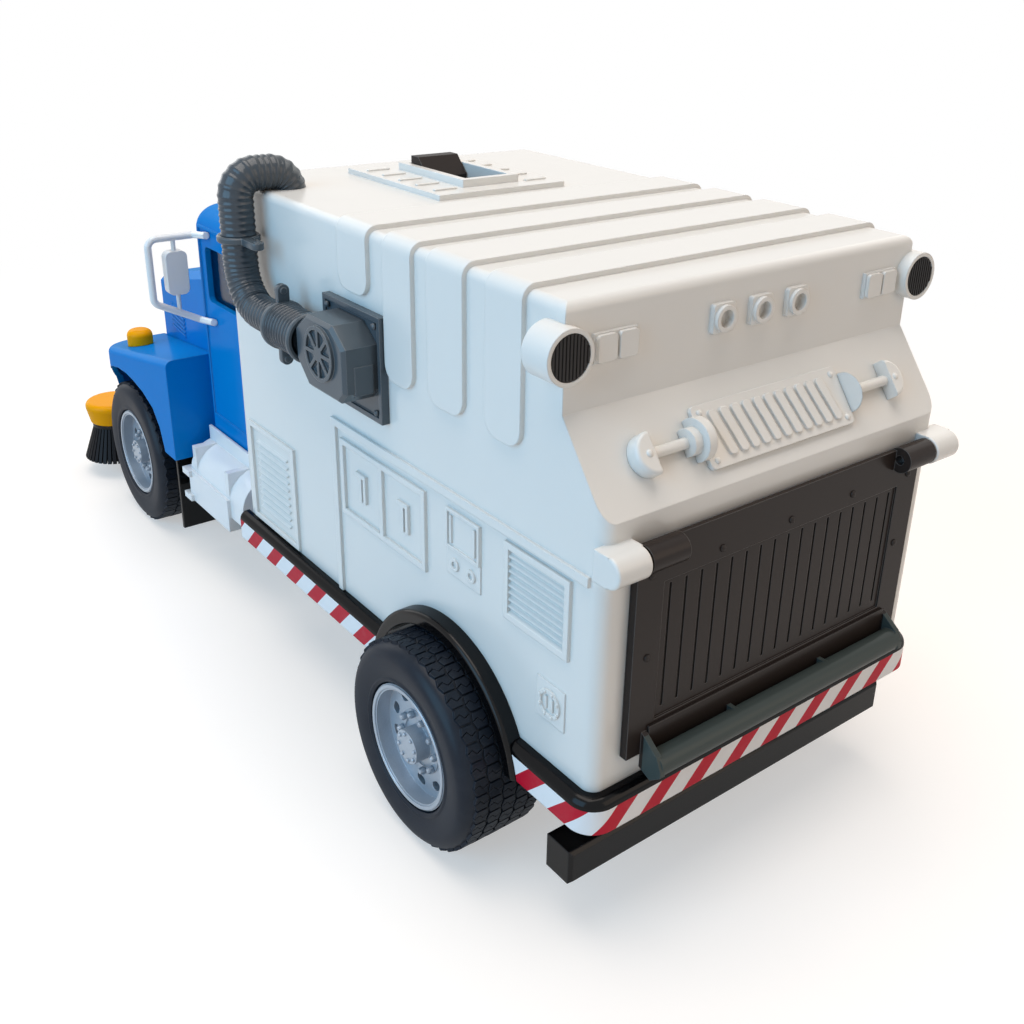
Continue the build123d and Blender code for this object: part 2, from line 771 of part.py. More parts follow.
# Skirt around the hopper's foot: a band with a rounded rim, three pieces
skirt_in = hopper_half + seat_gap / 2
skirt_out = skirt_in + skirt_proud
skirt = block((-seat_gap / 2 - skirt_proud, hopper_len + overrun), (-skirt_out, skirt_out), (skirt_foot_z, skirt_top_z))
skirt = fillet(skirt.edges().filter_by(Axis.Z).group_by(Axis.X)[0], skirt_corner_r)
skirt = fillet(skirt.edges().group_by(Axis.Z)[-1], skirt_top_z - skirt_rim_z)
core = block((-seat_gap / 2, hopper_len + 2 * overrun), (-skirt_in, skirt_in), (0, hopper_roof_z))
core = fillet(core.edges().filter_by(Axis.Z).group_by(Axis.X)[0], corner_r)
skirt = skirt - core - block((hopper_len, hopper_len + 2 * overrun), (-skirt_out, skirt_out), (0, hopper_roof_z))
flare_r = arch_r + arch_lip
skirt = skirt - disc(rear_axle_x, wheel_r, flare_r + seat_gap, -2 * hopper_half, 2 * hopper_half)
runs = skirt.solids().sort_by(Axis.X)
nodes["skirt_rear"] = runs[0]
front_runs = ShapeList(runs[1:]).sort_by(Axis.Y)
nodes["skirt_right"] = front_runs[0]
nodes["skirt_left"] = front_runs[-1]

# Black wheel arch flares with the liner that runs in behind the tyre
flare = disc(rear_axle_x, wheel_r, flare_r, skirt_in, hopper_half + arch_proud)
flare = fillet(flare.edges().filter_by(GeomType.CIRCLE).group_by(Axis.Y)[-1], arch_edge_r)
flare += disc(rear_axle_x, wheel_r, arch_r - seat_gap / 2, liner_in_y + seat_gap / 2, skirt_in + wall)
flare -= disc(rear_axle_x, wheel_r, arch_r - liner_wall, liner_in_y + liner_wall, hopper_half * 2)
flare -= block((-hopper_len, hopper_len), (0, hopper_half * 2), (-hopper_half, skirt_foot_z))
nodes["flare_left"] = flare
nodes["flare_right"] = other_side(flare)

# Chassis: deck, rails and axle tubes in one black moulding
rail_half = hopper_half - rail_inset
deck_half = liner_in_y - liner_wall * 2
deck_z = (hopper_floor_z - seat_gap - deck_thick, hopper_floor_z - seat_gap)
chassis_front_x = front_axle_x + chassis_ahead
chassis = block((chassis_rear_x, hopper_len), (-deck_half, deck_half), deck_z)
chassis += block((hopper_len - overrun, chassis_front_x), (-rail_half, rail_half), deck_z)
rail_x = (bumper_x + bumper_deep + seat_gap / 2, chassis_front_x)
for side in (1, -1):
    chassis += block(rail_x, (side * (rail_half - rail_wide), side * rail_half), (rail_low_z, deck_z[1]))
for x in (rear_axle_x, front_axle_x):
    chassis += disc(x, wheel_r, axle_tube_r, -rail_half, rail_half)
    chassis += block((x - axle_tube_r, x + axle_tube_r), (-rail_half, rail_half), (wheel_r, deck_z[0]))
    chassis -= disc(x, wheel_r, axle_r + seat_gap / 4, -hopper_half, hopper_half)
hanger_y = hopper_half - hanger_inset
for side in (1, -1):
    hanger_ys = (side * hanger_y - hanger_half, side * hanger_y + hanger_half)
    hanger_x = (chassis_rear_x, bumper_x + bumper_deep * 2)
    chassis += block(hanger_x, hanger_ys, (bumper_top_z + seat_gap / 2, deck_z[1]))
nodes["chassis"] = chassis

# Rear bumper bar
bumper_half = hopper_half + bumper_proud
bumper = block((bumper_x, bumper_x + bumper_deep), (-bumper_half, bumper_half), (bumper_low_z, bumper_top_z))
nodes["rear_bumper"] = chamfer(bumper.edges().group_by(Axis.X)[0], bumper_edge)

# Axle rods and wheels
pair_table = [
    ("rear", rear_axle_x, hopper_half + rear_wheel_proud, rear_tyre_wide),
    ("front", front_axle_x, cab_half + front_wheel_proud, front_tyre_wide),
]
well_r = rim_r - rim_bead
for pair, x, out_y, wide in pair_table:
    rod_end = out_y - rim_dish + wall / 2
    nodes["axle_" + pair] = disc(x, wheel_r, axle_r, -rod_end, rod_end)
    in_y = out_y - wide
    tyre = disc(x, wheel_r, wheel_r, in_y, out_y)
    tyre = fillet(tyre.edges().filter_by(GeomType.CIRCLE), tyre_shoulder)
    tyre -= disc(x, wheel_r, rim_r, in_y - overrun, out_y + overrun)
    rim = disc(x, wheel_r, rim_r - seat_gap / 2, in_y + rim_lip, out_y - rim_lip)
    rim -= disc(x, wheel_r, well_r, out_y - rim_dish, out_y + overrun)
    rim -= disc(x, wheel_r, well_r, in_y - overrun, out_y - rim_dish - rim_web)
    rim += disc(x, wheel_r, hub_r, out_y - rim_dish - hub_bore_len, out_y - rim_dish)
    ring = disc(x, wheel_r, lug_ring_r, out_y - rim_dish - rim_web / 2, out_y - rim_dish + lug_ring_proud)
    rim += ring - disc(x, wheel_r, lug_ring_in_r, out_y - rim_dish, out_y)
    rim += disc(x, wheel_r, cap_r, out_y - rim_dish, out_y - rim_dish + cap_proud)
    web_plane = Plane(origin=(x, out_y, wheel_r), x_dir=(1, 0, 0), z_dir=(0, -1, 0))
    hole = extrude(SlotOverall(hand_hole_long, hand_hole_wide), amount=rim_dish + rim_web + overrun)
    for i in range(hand_holes):
        turn = Rot(0, 0, 360 * i / hand_holes)
        rim -= web_plane * turn * Pos(0, rim_r * hand_hole_share, 0) * hole
    rim -= disc(x, wheel_r, axle_r + running_gap, in_y - overrun, rod_end + running_gap * 3)
    nodes["tyre_" + pair + "_left"] = tyre
    nodes["rim_" + pair + "_left"] = rim
    nodes["tyre_" + pair + "_right"] = other_side(tyre)
    nodes["rim_" + pair + "_right"] = other_side(rim)

# Blower: back plate with a sunk field, octagonal housing with the fan's relief
blower_from = slope_top_x + band_shares[2][1] * roof_len + blower_lead
blower_x = (blower_from, blower_from + blower_len)
plate_y = (hopper_half + seat_gap / 2, hopper_half + blower_plate_thick)
blower_plate = block(blower_x, plate_y, blower_z)
sunk_x = (blower_x[0] + blower_plate_rim, blower_x[1] - blower_plate_rim)
sunk_z = (blower_z[0] + blower_plate_rim, blower_z[1] - blower_plate_rim)
blower_plate -= block(sunk_x, (plate_y[1] - blower_plate_sink, plate_y[1] + overrun), sunk_z)
nodes["blower_plate"] = blower_plate
hx0, hx1 = blower_x[0] + housing_inset, blower_x[1] - blower_plate_rim - seat_gap
hz0, hz1 = housing_z
housing_y = (plate_y[1] - blower_plate_sink + seat_gap / 2, hopper_half + housing_proud)
housing = side_prism(
    [
        (hx0, hz0 + housing_cut / 2),
        (hx0 + housing_cut / 2, hz0),
        (hx1 - housing_cut, hz0),
        (hx1, hz0 + housing_cut),
        (hx1, hz1 - housing_cut),
        (hx1 - housing_cut, hz1 - blower_plate_rim),
        (hx0 + housing_cut, hz1 - blower_plate_rim),
        (hx0, hz1 - housing_cut),
    ],
    *housing_y,
)
housing = chamfer(housing.edges().group_by(Axis.Y)[-1], housing_edge)
fan_x = blower_x[0] + fan_ahead
housing += disc(fan_x, fan_z, fan_r, housing_y[1] - wall, housing_y[1] + fan_proud)
housing -= disc(fan_x, fan_z, fan_r - ring_bar, housing_y[1] + fan_proud - fan_sink, housing_y[1] + overrun)
housing += disc(fan_x, fan_z, fan_hub_r, housing_y[1] - wall, housing_y[1] + fan_proud)
for i in range(fan_blades):
    blade = Pos(fan_r / 2, 0, 0) * Box(fan_r - ring_bar, fan_blade_wide, 2 * fan_sink)
    fan_plane = Plane(origin=(fan_x, housing_y[1] + fan_proud - fan_sink, fan_z), x_dir=(1, 0, 0), z_dir=(0, 1, 0))
    housing += fan_plane * Rot(0, 0, 360 * i / fan_blades) * blade
box_y = (hopper_half + side_box_proud[0], hopper_half + side_box_proud[1])
housing += block((hx0 - seat_gap * 2, hx0 + side_box_len), box_y, side_box_z)
nodes["blower_housing"] = housing

# Hose: bent tube with a wider coupling, two collars and eared clamps
hose_y = hopper_half + hose_proud
hose_roof_y = hopper_half - hose_roof_inset
hose_up_x = blower_x[1] + hose_up_ahead
hose_from = hx1 + seat_gap / 2
bend_z = hose_run_z + hose_bend_r
side_plane = Plane(origin=(0, hose_y, 0), x_dir=(1, 0, 0), z_dir=(0, -1, 0))
run = Line((hose_from, hose_run_z), (hose_up_x - hose_bend_r, hose_run_z))
turn_up = RadiusArc((hose_up_x - hose_bend_r, hose_run_z), (hose_up_x, bend_z), -hose_bend_r)
climb = Line((hose_up_x, bend_z), (hose_up_x, hose_top_z))
mouth = Plane(origin=(hose_from, hose_y, hose_run_z), x_dir=(0, 1, 0), z_dir=(1, 0, 0)) * Circle(hose_r)
hose = sweep(mouth, path=side_plane * (run + turn_up + climb))
over = disc(hose_up_x, hose_top_z + hose_over_r, hose_r, hose_roof_y + hose_over_r, hose_y - hose_over_r)
for y, inward in [(hose_y, -1), (hose_roof_y, 1)]:
    bend_axis = Axis((hose_up_x, y + inward * hose_over_r, hose_top_z), (-inward, 0, 0))
    over += revolve(Pos(hose_up_x, y, hose_top_z) * Circle(hose_r), axis=bend_axis, revolution_arc=90)
roof_clear_z = hopper_roof_z + seat_gap / 2
hose += over
hose -= block((0, hopper_len), (-hopper_half, hopper_half + seat_gap / 2), (0, roof_clear_z))
collar_x = blower_x[1] + coupling_len
hose += along(hose_from, collar_x, hose_y, hose_run_z, coupling_r)
hose += along(hose_from, hose_from + clamp_wide, hose_y, hose_run_z, clamp_r)
hose += along(collar_x - clamp_wide, collar_x, hose_y, hose_run_z, clamp_r)
ear_y = (hose_y - clamp_ear / 2, hose_y + clamp_ear / 2)
ear_reach = clamp_r + clamp_ear_len
hose += block((collar_x - clamp_wide, collar_x), ear_y, (hose_run_z - ear_reach, hose_run_z + ear_reach))
hose += post(hose_up_x, hose_y, hose_r + wall / 2, clamp_up_z - clamp_wide / 2, clamp_up_z + clamp_wide / 2)
up_ear_x = (hose_up_x - hose_r - clamp_up_ear, hose_up_x)
hose += block(up_ear_x, ear_y, (clamp_up_z - clamp_wide / 2, clamp_up_z + clamp_wide / 2))
hose -= block((0, hopper_len), (0, hopper_half + seat_gap / 2), (0, roof_clear_z))
hose -= block((0, blower_x[1] + seat_gap / 2), (0, plate_y[1] + seat_gap / 2), (0, roof_clear_z))
nodes["hose"] = hose

# Cab shell: rounded box made hollow, windows cut through, door lines and handles raised
cab_outer = block(cab_x, (-cab_half, cab_half), (cab_floor_z, cab_roof_z))
cab_outer = fillet(cab_outer.edges().group_by(Axis.Z)[-1], cab_top_r)
cab_outer = fillet(cab_outer.edges().filter_by(Axis.Z).group_by(Axis.X)[-1], cab_corner_r)
cab_in = cab_half - wall
cab_inner = block((cab_x[0] + wall, cab_x[1] - wall), (-cab_in, cab_in), (cab_floor_z + wall, cab_roof_z - wall))
cab_inner = fillet(cab_inner.edges().group_by(Axis.Z)[-1], cab_top_r - wall)
cab = cab_outer - cab_inner
cab_door_x = (cab_x[0] + cab_door_rear, cab_x[1] - cab_door_front)
line_y = (cab_half - wall / 2, cab_half + door_line_proud)
cab_door = frame_bar(cab_door_x, line_y, cab_door_z, door_line_bar)
handle_x = (cab_door_x[0] + 2 * door_line_bar, cab_door_x[0] + 2 * door_line_bar + cab_handle_len)
cab_door += block(handle_x, (line_y[0], cab_half + 2 * door_line_proud), cab_handle_z)
cab = cab + cab_door + other_side(cab_door)
window_x = (cab_x[0] + window_rear, cab_x[1] - window_front)
window_cut = block(window_x, (-hopper_half, hopper_half), window_z)
cab -= fillet(window_cut.edges().filter_by(Axis.Y), window_r)
screen_half = cab_half - screen_inset
screen_cut = block((cab_x[1] - wall - overrun, cab_x[1] + overrun), (-screen_half, screen_half), screen_z)
cab -= fillet(screen_cut.edges().filter_by(Axis.X), window_r)
nodes["cab_shell"] = cab
pane_out = cab_in - seat_gap / 2
pane_x = (window_x[0] - wall, window_x[1] + wall / 2)
glazing = block(pane_x, (pane_out - pane_thick, pane_out), (window_z[0] - wall, window_z[1] + wall / 2))
nodes["window_left"] = glazing
nodes["window_right"] = other_side(glazing)
screen_x = cab_x[1] - wall - seat_gap / 2
screen_wide = screen_half + wall / 2
screen_pane_z = (screen_z[0] - wall, screen_z[1])
nodes["windscreen"] = block((screen_x - pane_thick, screen_x), (-screen_wide, screen_wide), screen_pane_z)

# Cab interior: bench seat, dashboard and steering wheel
floor_top = cab_floor_z + wall + seat_gap / 2
seat_half = cab_half - seat_inset
seat_x = (cab_x[0] + seat_ahead[0], cab_x[0] + seat_ahead[1])
seat = block(seat_x, (-seat_half, seat_half), (floor_top, seat_z))
back_x = (seat_x[0] - seat_back_deep + wall, seat_x[0] + wall)
nodes["seat_bench"] = seat + block(back_x, (-seat_half, seat_half), (floor_top, seat_back_z))
dash_x = (cab_x[0] + dash_ahead, cab_x[1] - wall - seat_gap / 4)
nodes["dashboard"] = block(dash_x, (-seat_half, seat_half), (floor_top, dash_z))
wheel_plane = Pos(cab_x[0] + steer_ahead, steer_y, steer_z) * Rot(0, -steer_tilt, 0)
steering = wheel_plane * Torus(steer_r, steer_rod_r)
steering += wheel_plane * Box(2 * steer_r, 2 * steer_rod_r, steer_rod_r)
steering += wheel_plane * Pos(0, 0, -steer_r / 2) * Cylinder(steer_rod_r, steer_r)
beyond_dash = (dash_x[0] - seat_gap / 2, cab_x[1])
nodes["steering_wheel"] = steering - block(beyond_dash, (-hopper_half, hopper_half), (0, hopper_roof_z))


def hood_section(x, half, top, low, crown):
    """A cross-section of the hood with bevelled upper corners."""
    outline = Polyline(
        (-half, low),
        (-half, top - crown),
        (-half + crown, top),
        (half - crown, top),
        (half, top - crown),
        (half, low),
        close=True,
    )
    plane = Plane(origin=(x, 0, 0), x_dir=(0, 1, 0), z_dir=(1, 0, 0))
    return plane * make_face(outline)


# Hood: tapers towards the grille, with slatted vents in its sides
hood_x = (cab_x[1] + seat_gap / 2, cab_x[1] + hood_len)
hood_back = cab_half - hood_back_inset
hood_front = cab_half - hood_front_inset
hood = loft(
    [
        hood_section(hood_x[0], hood_back, hood_back_z, hood_low_z, hood_crown),
        hood_section(hood_x[1], hood_front, hood_front_z, hood_low_z, hood_crown),
    ]
)
inner_low = hood_low_z - overrun
in_crown = hood_crown - wall / 2
hood -= loft(
    [
        hood_section(hood_x[0] - overrun, hood_back - wall, hood_back_z - wall, inner_low, in_crown),
        hood_section(hood_x[1] - wall, hood_front - wall, hood_front_z - wall, inner_low, in_crown),
    ]
)
vent_pitch = (vent_z[1] - vent_z[0]) / vent_slats
vent_from = hood_x[0] + vent_back
taper = (hood_back - hood_front) / (hood_x[1] - hood_x[0])
for i in range(vent_slats):
    foot = vent_z[0] + i * vent_pitch
    half_from = hood_back - taper * vent_back
    half_to = half_from - taper * vent_len
    slat = plan_prism(
        [
            (vent_from, half_from - wall / 2),
            (vent_from, half_from + door_line_proud),
            (vent_from + vent_len, half_to + door_line_proud),
            (vent_from + vent_len, half_to - wall / 2),
        ],
        foot,
        foot + vent_pitch / 2,
    )
    hood = hood + slat + other_side(slat)
nodes["hood"] = hood
grille_x = (hood_x[1] + seat_gap / 2, hood_x[1] + grille_thick)
grille = block(grille_x, (-grille_half, grille_half), grille_z)
slot_pitch = (grille_z[1] - grille_z[0]) / grille_bars
for i in range(grille_bars):
    foot = grille_z[0] + (i + slat_share / 4) * slot_pitch
    slot_zs = (foot, foot + slot_pitch * slat_share / 2)
    slot_half_y = grille_half - wall
    grille -= block((grille_x[1] - grille_bar_deep, grille_x[1] + overrun), (-slot_half_y, slot_half_y), slot_zs)
nodes["grille"] = grille

# Fenders: a shell over each front wheel with a round-topped arch
fender_out = cab_half + fender_proud
fender_in = fender_inner_half
fx0, fx1 = front_axle_x - fender_behind, front_axle_x + fender_ahead
side_view = [
    (fx0, fender_low_z),
    (fx0, fender_top_back_z),
    (fx1, fender_top_front_z),
    (fx1, fender_low_z),
]
inner_view = [
    (fx0 + fender_wall, fender_low_z - overrun),
    (fx0 + fender_wall, fender_top_back_z - fender_wall),
    (fx1 - fender_wall, fender_top_front_z - fender_wall),
    (fx1 - fender_wall, fender_low_z - overrun),
]


def front_outer_edge(solid):
    """The upright edge at a fender's front outer corner."""
    return solid.edges().filter_by(Axis.Z).group_by(Axis.X)[-1].sort_by(Axis.Y)[-1]


fender = side_prism(side_view, fender_in, fender_out)
fender = fillet(front_outer_edge(fender), fender_plan_r)
rim_edges = fender.faces().sort_by(Axis.Z)[-1].edges()
rim_edges = rim_edges.filter_by(lambda e: e.center().Y > fender_in + overrun and e.center().X > fx0 + overrun)
fender = fillet(rim_edges, fender_edge_r)
fender_hollow = side_prism(inner_view, fender_in - overrun, fender_out - fender_wall)
fender = fender - fillet(front_outer_edge(fender_hollow), fender_plan_r - fender_wall)
arch_view = [(front_axle_x + dx, z) for dx, z in arch_view_table]
fender = fender - side_prism(arch_view, fender_out - fender_plan_r, fender_out + overrun)
keep_out = plan_prism(
    [
        (fx0 - overrun, 0),
        (fx0 - overrun, hood_back + seat_gap),
        (hood_x[0], hood_back + seat_gap),
        (hood_x[1] + seat_gap, hood_front + seat_gap),
        (hood_x[1] + seat_gap, 0),
    ],
    0,
    hopper_roof_z,
)
fender = fender - keep_out
fender -= block((0, 2 * hopper_len), (0, rail_half + seat_gap / 2), (0, hood_low_z))
fender = fender.solids().sort_by(SortBy.VOLUME)[-1]
nodes["fender_left"] = fender
nodes["fender_right"] = other_side(fender)

# Turn lamps on the fenders
turn_lamp_x = front_axle_x + turn_lamp_ahead
fender_fall = (fender_top_front_z - fender_top_back_z) / (fx1 - fx0)
fender_top_here = fender_top_back_z + fender_fall * (turn_lamp_x - fx0)
lamp = post(turn_lamp_x, turn_lamp_y, turn_lamp_r, fender_top_here - fender_wall, fender_top_here + turn_lamp_high)
lamp = fillet(lamp.edges().group_by(Axis.Z)[-1], turn_lamp_r / 2)
under = side_prism(
    [(fx0, 0), (fx0, fender_top_back_z + seat_gap / 2), (fx1, fender_top_front_z + seat_gap / 2), (fx1, 0)],
    0,
    hopper_half * 2,
)
nodes["turn_lamp_left"] = lamp - under
nodes["turn_lamp_right"] = other_side(lamp - under)

# Headlamps on the fenders' front faces
headlamp = along(fx1 + seat_gap / 2, fx1 + headlamp_deep, headlamp_y, headlamp_z, headlamp_r)
nodes["headlamp_left"] = headlamp
nodes["headlamp_right"] = other_side(headlamp)

# Front bumper with an arm out to each gutter brush
bumper_front_x = (front_axle_x + front_bumper_ahead, front_axle_x + front_bumper_ahead + front_bumper_deep)
brush_y = cab_half + brush_proud
front_bumper = block(bumper_front_x, (-front_bumper_half, front_bumper_half), front_bumper_z)
link_x = (chassis_front_x + seat_gap / 2, bumper_front_x[0] + wall)
front_bumper += block(link_x, (-rail_half, rail_half), front_bumper_z)
for side in (1, -1):
    front_bumper += block(bumper_front_x, (side * (front_bumper_half - arm_half), side * brush_y), arm_z)
    arm_ys = (side * brush_y - arm_half, side * brush_y + arm_half)
    front_bumper += block((bumper_front_x[0], brush_x - cover_low_r + wall), arm_ys, arm_z)
nodes["front_bumper"] = front_bumper

# Gutter brushes: amber cover with its pin, flared bristles and the hub that turns
for side_name, side in [("left", 1), ("right", -1)]:
    y = side * brush_y
    cover = Pos(brush_x, y, (cover_z[0] + cover_z[1]) / 2) * Cone(cover_low_r, cover_r, cover_z[1] - cover_z[0])
    cap = post(brush_x, y, cover_r, cover_z[1], cover_z[2])
    cover += fillet(cap.edges().group_by(Axis.Z)[-1], cover_edge_r)
    cover -= front_bumper
    cover += post(brush_x, y, brush_pin_r, brush_low_z + overrun, cover_z[0] + wall)
    nodes["brush_cover_" + side_name] = cover
    hub_foot_z = brush_low_z + overrun / 2
    brush_mid_z = (brush_low_z + brush_top_z) / 2
    bristles = Pos(brush_x, y, brush_mid_z) * Cone(brush_low_r, brush_top_r, brush_top_z - brush_low_z)
    bristles -= post(brush_x, y, brush_hub_r / 2, 0, hub_foot_z)
    bristles -= post(brush_x, y, brush_hub_r, hub_foot_z, brush_top_z + overrun)
    nodes["bristles_" + side_name] = bristles
    hub = post(brush_x, y, brush_hub_r - seat_gap / 2, hub_foot_z + seat_gap / 2, brush_top_z + wall / 4)
    hub += post(brush_x, y, brush_top_r, brush_top_z + seat_gap / 2, brush_hub_z)
    nodes["brush_hub_" + side_name] = hub - post(brush_x, y, brush_pin_r + running_gap, 0, hopper_roof_z)

# Mirrors: a bent tube with pads along the cab side and the head on a stem
mirror_x = cab_x[1] - mirror_behind
pad_y = cab_half + seat_gap / 2 + mirror_tube_r
mirror_far = cab_half + mirror_reach
arm_plane = Plane(origin=(mirror_x, 0, 0), x_dir=(0, 1, 0), z_dir=(1, 0, 0))
arm_points = [(pad_y, mirror_top_z), (mirror_far, mirror_top_z), (mirror_far, mirror_low_z), (pad_y, mirror_foot_z)]
arm_path = arm_plane * FilletPolyline(*arm_points, radius=mirror_bend_r)
arm_start = Plane(origin=(mirror_x, pad_y, mirror_top_z), x_dir=(1, 0, 0), z_dir=(0, 1, 0))
mirror_arm = sweep(arm_start * Circle(mirror_tube_r), path=arm_path)
for z in (mirror_top_z, mirror_foot_z):
    pad = along(-mirror_pad_len, 0, 0, 0, mirror_tube_r) + Sphere(mirror_tube_r)
    mirror_arm += Pos(mirror_x, pad_y, z) * Rot(0, mirror_pad_tilt, 0) * pad
head_x = (mirror_x - mirror_head_deep / 2, mirror_x + mirror_head_deep / 2)
head = block(head_x, mirror_head_y, mirror_head_z)
head = fillet(head.edges().filter_by(Axis.X), wall)
head_mid = (mirror_head_y[0] + mirror_head_y[1]) / 2
mirror_arm += head + post(mirror_x, head_mid, mirror_stem_r, mirror_low_z - mirror_drop, mirror_top_z)
mirror_arm -= block(cab_x, (0, cab_half + seat_gap / 2), (0, hopper_roof_z))
frame_edge_x = (cab_door_x[1] - door_line_bar - seat_gap, cab_door_x[1] + seat_gap)
mirror_arm -= block(frame_edge_x, (0, line_y[1] + seat_gap / 2), (0, hopper_roof_z))
mirror_arm = mirror_arm.solids().sort_by(SortBy.VOLUME)[-1]
nodes["mirror_left"] = mirror_arm
nodes["mirror_right"] = other_side(mirror_arm)

# Tanks: quarter-round body between square bulkheads, a side panel and two steps
tank_x = (cab_x[0] + tank_rear, cab_x[1] - seat_gap)
tank_y = cab_half + tank_proud
tank_inner_y = cab_half - tank_inner_inset
tank = block(tank_x, (tank_inner_y, tank_y), (tank_low_z, tank_top_z))
tank = fillet(tank.edges().filter_by(Axis.X).group_by(Axis.Z)[-1].sort_by(Axis.Y)[-1], tank_round)
for x0 in (tank_x[1] - bulkhead_from_front - bulkhead_thick, cab_x[0] + bulkhead_ahead):
    tank += block((x0, x0 + bulkhead_thick), (tank_inner_y, tank_y), (tank_low_z, tank_top_z))
panel_from_x = cab_x[0] + bulkhead_ahead
tank += block((panel_from_x, tank_x[1]), (cab_half, cab_half + tank_panel_proud), tank_panel_z)
for z in (tank_panel_z[0], tank_panel_z[1] - tank_step_thick):
    tank += block(
        (tank_x[1] - bulkhead_thick, tank_x[1] + bulkhead_thick),
        (cab_half, cab_half + tank_step_proud),
        (z, z + tank_step_thick),
    )
tank += block(tank_x, (cab_half - shoulder_deep, cab_half + shoulder_deep), (tank_top_z - wall, shoulder_z))
under_cab = (cab_floor_z - seat_gap / 2, hopper_roof_z)
tank -= block((0, hopper_len * 2), (0, cab_half + door_line_proud + seat_gap / 2), under_cab)
nodes["tank_left"] = tank
nodes["tank_right"] = other_side(tank)

# Mud flaps behind the front wheels
flap_x = front_axle_x - flap_behind
flap = block((flap_x, flap_x + flap_thick), flap_half, flap_z)
flap_top = (fender_low_z - wall, hood_low_z - seat_gap / 2)
flap += block((flap_x, flap_x + flap_thick), (rail_half + seat_gap / 2, flap_half[0] + wall), flap_top)
nodes["mud_flap_left"] = flap
nodes["mud_flap_right"] = other_side(flap)

for name, solid in nodes.items():
    placed = Pos(-middle_x, 0, 0) * solid
    found = placed.solids()
    shape = found[0] if len(found) == 1 else Compound(children=list(found))
    shape.label = name
    export_step(shape, "parts/" + name + ".step")
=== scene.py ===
import math

import bmesh
import bpy
from mathutils import Matrix, Vector


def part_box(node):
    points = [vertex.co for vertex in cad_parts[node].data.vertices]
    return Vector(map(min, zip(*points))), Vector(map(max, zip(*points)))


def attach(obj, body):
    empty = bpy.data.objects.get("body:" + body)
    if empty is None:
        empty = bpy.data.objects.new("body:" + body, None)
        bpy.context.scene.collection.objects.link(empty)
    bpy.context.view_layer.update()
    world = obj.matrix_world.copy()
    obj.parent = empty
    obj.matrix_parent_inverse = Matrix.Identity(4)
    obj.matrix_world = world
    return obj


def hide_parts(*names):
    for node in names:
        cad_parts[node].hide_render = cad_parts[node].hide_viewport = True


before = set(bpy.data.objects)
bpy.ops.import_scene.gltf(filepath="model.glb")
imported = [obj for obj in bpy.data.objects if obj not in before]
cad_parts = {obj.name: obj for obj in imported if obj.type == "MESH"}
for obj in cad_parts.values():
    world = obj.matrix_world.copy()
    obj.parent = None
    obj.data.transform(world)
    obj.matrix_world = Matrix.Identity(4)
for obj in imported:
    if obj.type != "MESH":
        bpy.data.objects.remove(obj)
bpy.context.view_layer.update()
scene = bpy.context.scene
mm = 0.001

# Studio: a plain pale floor that fades to white away from the truck and keeps its
# soft shadow, a dim warm room with a cool window to the truck's left, and the
# camera at the photograph's angle.
room_colour = "C6BFB9"
room_strength = 0.36
floor_colour = "D4D0CC"
floor_lift = 0.45
floor_half = 6.0
floor_fade = (0.30, 0.75)
lamps_aim = (0.0, 0.0, 0.08)
lamp_table = [
    ("window_lamp", (-0.15, 1.70, 0.75), 1.5, "8ACCF7", 23.0),
    ("ceiling_lamp", (0.00, 0.10, 1.90), 1.6, "FFF4EA", 28.0),
    ("right_lamp", (0.10, -1.80, 0.80), 1.4, "F4F1EC", 7.0),
    ("front_lamp", (1.90, 0.10, 0.70), 1.3, "F1F1F0", 7.0),
    ("rear_lamp", (-1.90, -0.80, 0.95), 1.4, "FFDFC0", 7.0),
]
photo_px = 1024
focal_px = 1126.226
photo_centre_px = (547.63, 449.19)
sensor = 36.0
camera_reach = (0.01, 50.0)
camera_place = (-0.41893, 0.25417, 0.28493)
camera_right = (-0.621452, -0.782991, 0.026889)
camera_up = (0.327088, -0.228114, 0.917048)
camera_ahead = (0.711907, -0.578697, -0.397868)


def linear(code):
    """An sRGB hex value as linear red, green and blue with an alpha of one."""
    parts = [int(code[i : i + 2], 16) / 255 for i in (0, 2, 4)]
    return tuple(p / 12.92 if p <= 0.04045 else ((p + 0.055) / 1.055) ** 2.4 for p in parts) + (1.0,)


def add(tree, kind, settings=None, links=None):
    """Adds a node with its properties and sockets set, and sockets fed from other nodes."""
    made = tree.nodes.new(kind)
    for name, value in (settings or {}).items():
        if isinstance(name, int) or name in made.inputs:
            made.inputs[name].default_value = value
        else:
            setattr(made, name, value)
    for name, source in (links or {}).items():
        socket = source if isinstance(source, bpy.types.NodeSocket) else source.outputs[0]
        tree.links.new(socket, made.inputs[name])
    return made


def seen_rays(tree):
    """One where a ray comes from the camera, a reflection or through glass."""
    rays = add(tree, "ShaderNodeLightPath").outputs
    first = add(
        tree,
        "ShaderNodeMath",
        {"operation": "MAXIMUM"},
        {0: rays["Is Camera Ray"], 1: rays["Is Glossy Ray"]},
    )
    return add(tree, "ShaderNodeMath", {"operation": "MAXIMUM"}, {0: first, 1: rays["Is Transmission Ray"]})


def new_material(name):
    """An empty node material and its tree."""
    made = bpy.data.materials.new(name)
    made.use_nodes = True
    made.node_tree.nodes.clear()
    return made, made.node_tree


scene.view_settings.view_transform = "Standard"
world = bpy.data.worlds.new("studio_room")
scene.world = world
world.use_nodes = True
world.node_tree.nodes.clear()
room = world.node_tree
dim = add(room, "ShaderNodeBackground", {"Color": linear(room_colour), "Strength": room_strength})
white = add(room, "ShaderNodeBackground", {"Color": (1.0, 1.0, 1.0, 1.0), "Strength": 1.0})
mixed = add(room, "ShaderNodeMixShader", links={0: seen_rays(room), 1: dim, 2: white})
add(room, "ShaderNodeOutputWorld", links={"Surface": mixed})

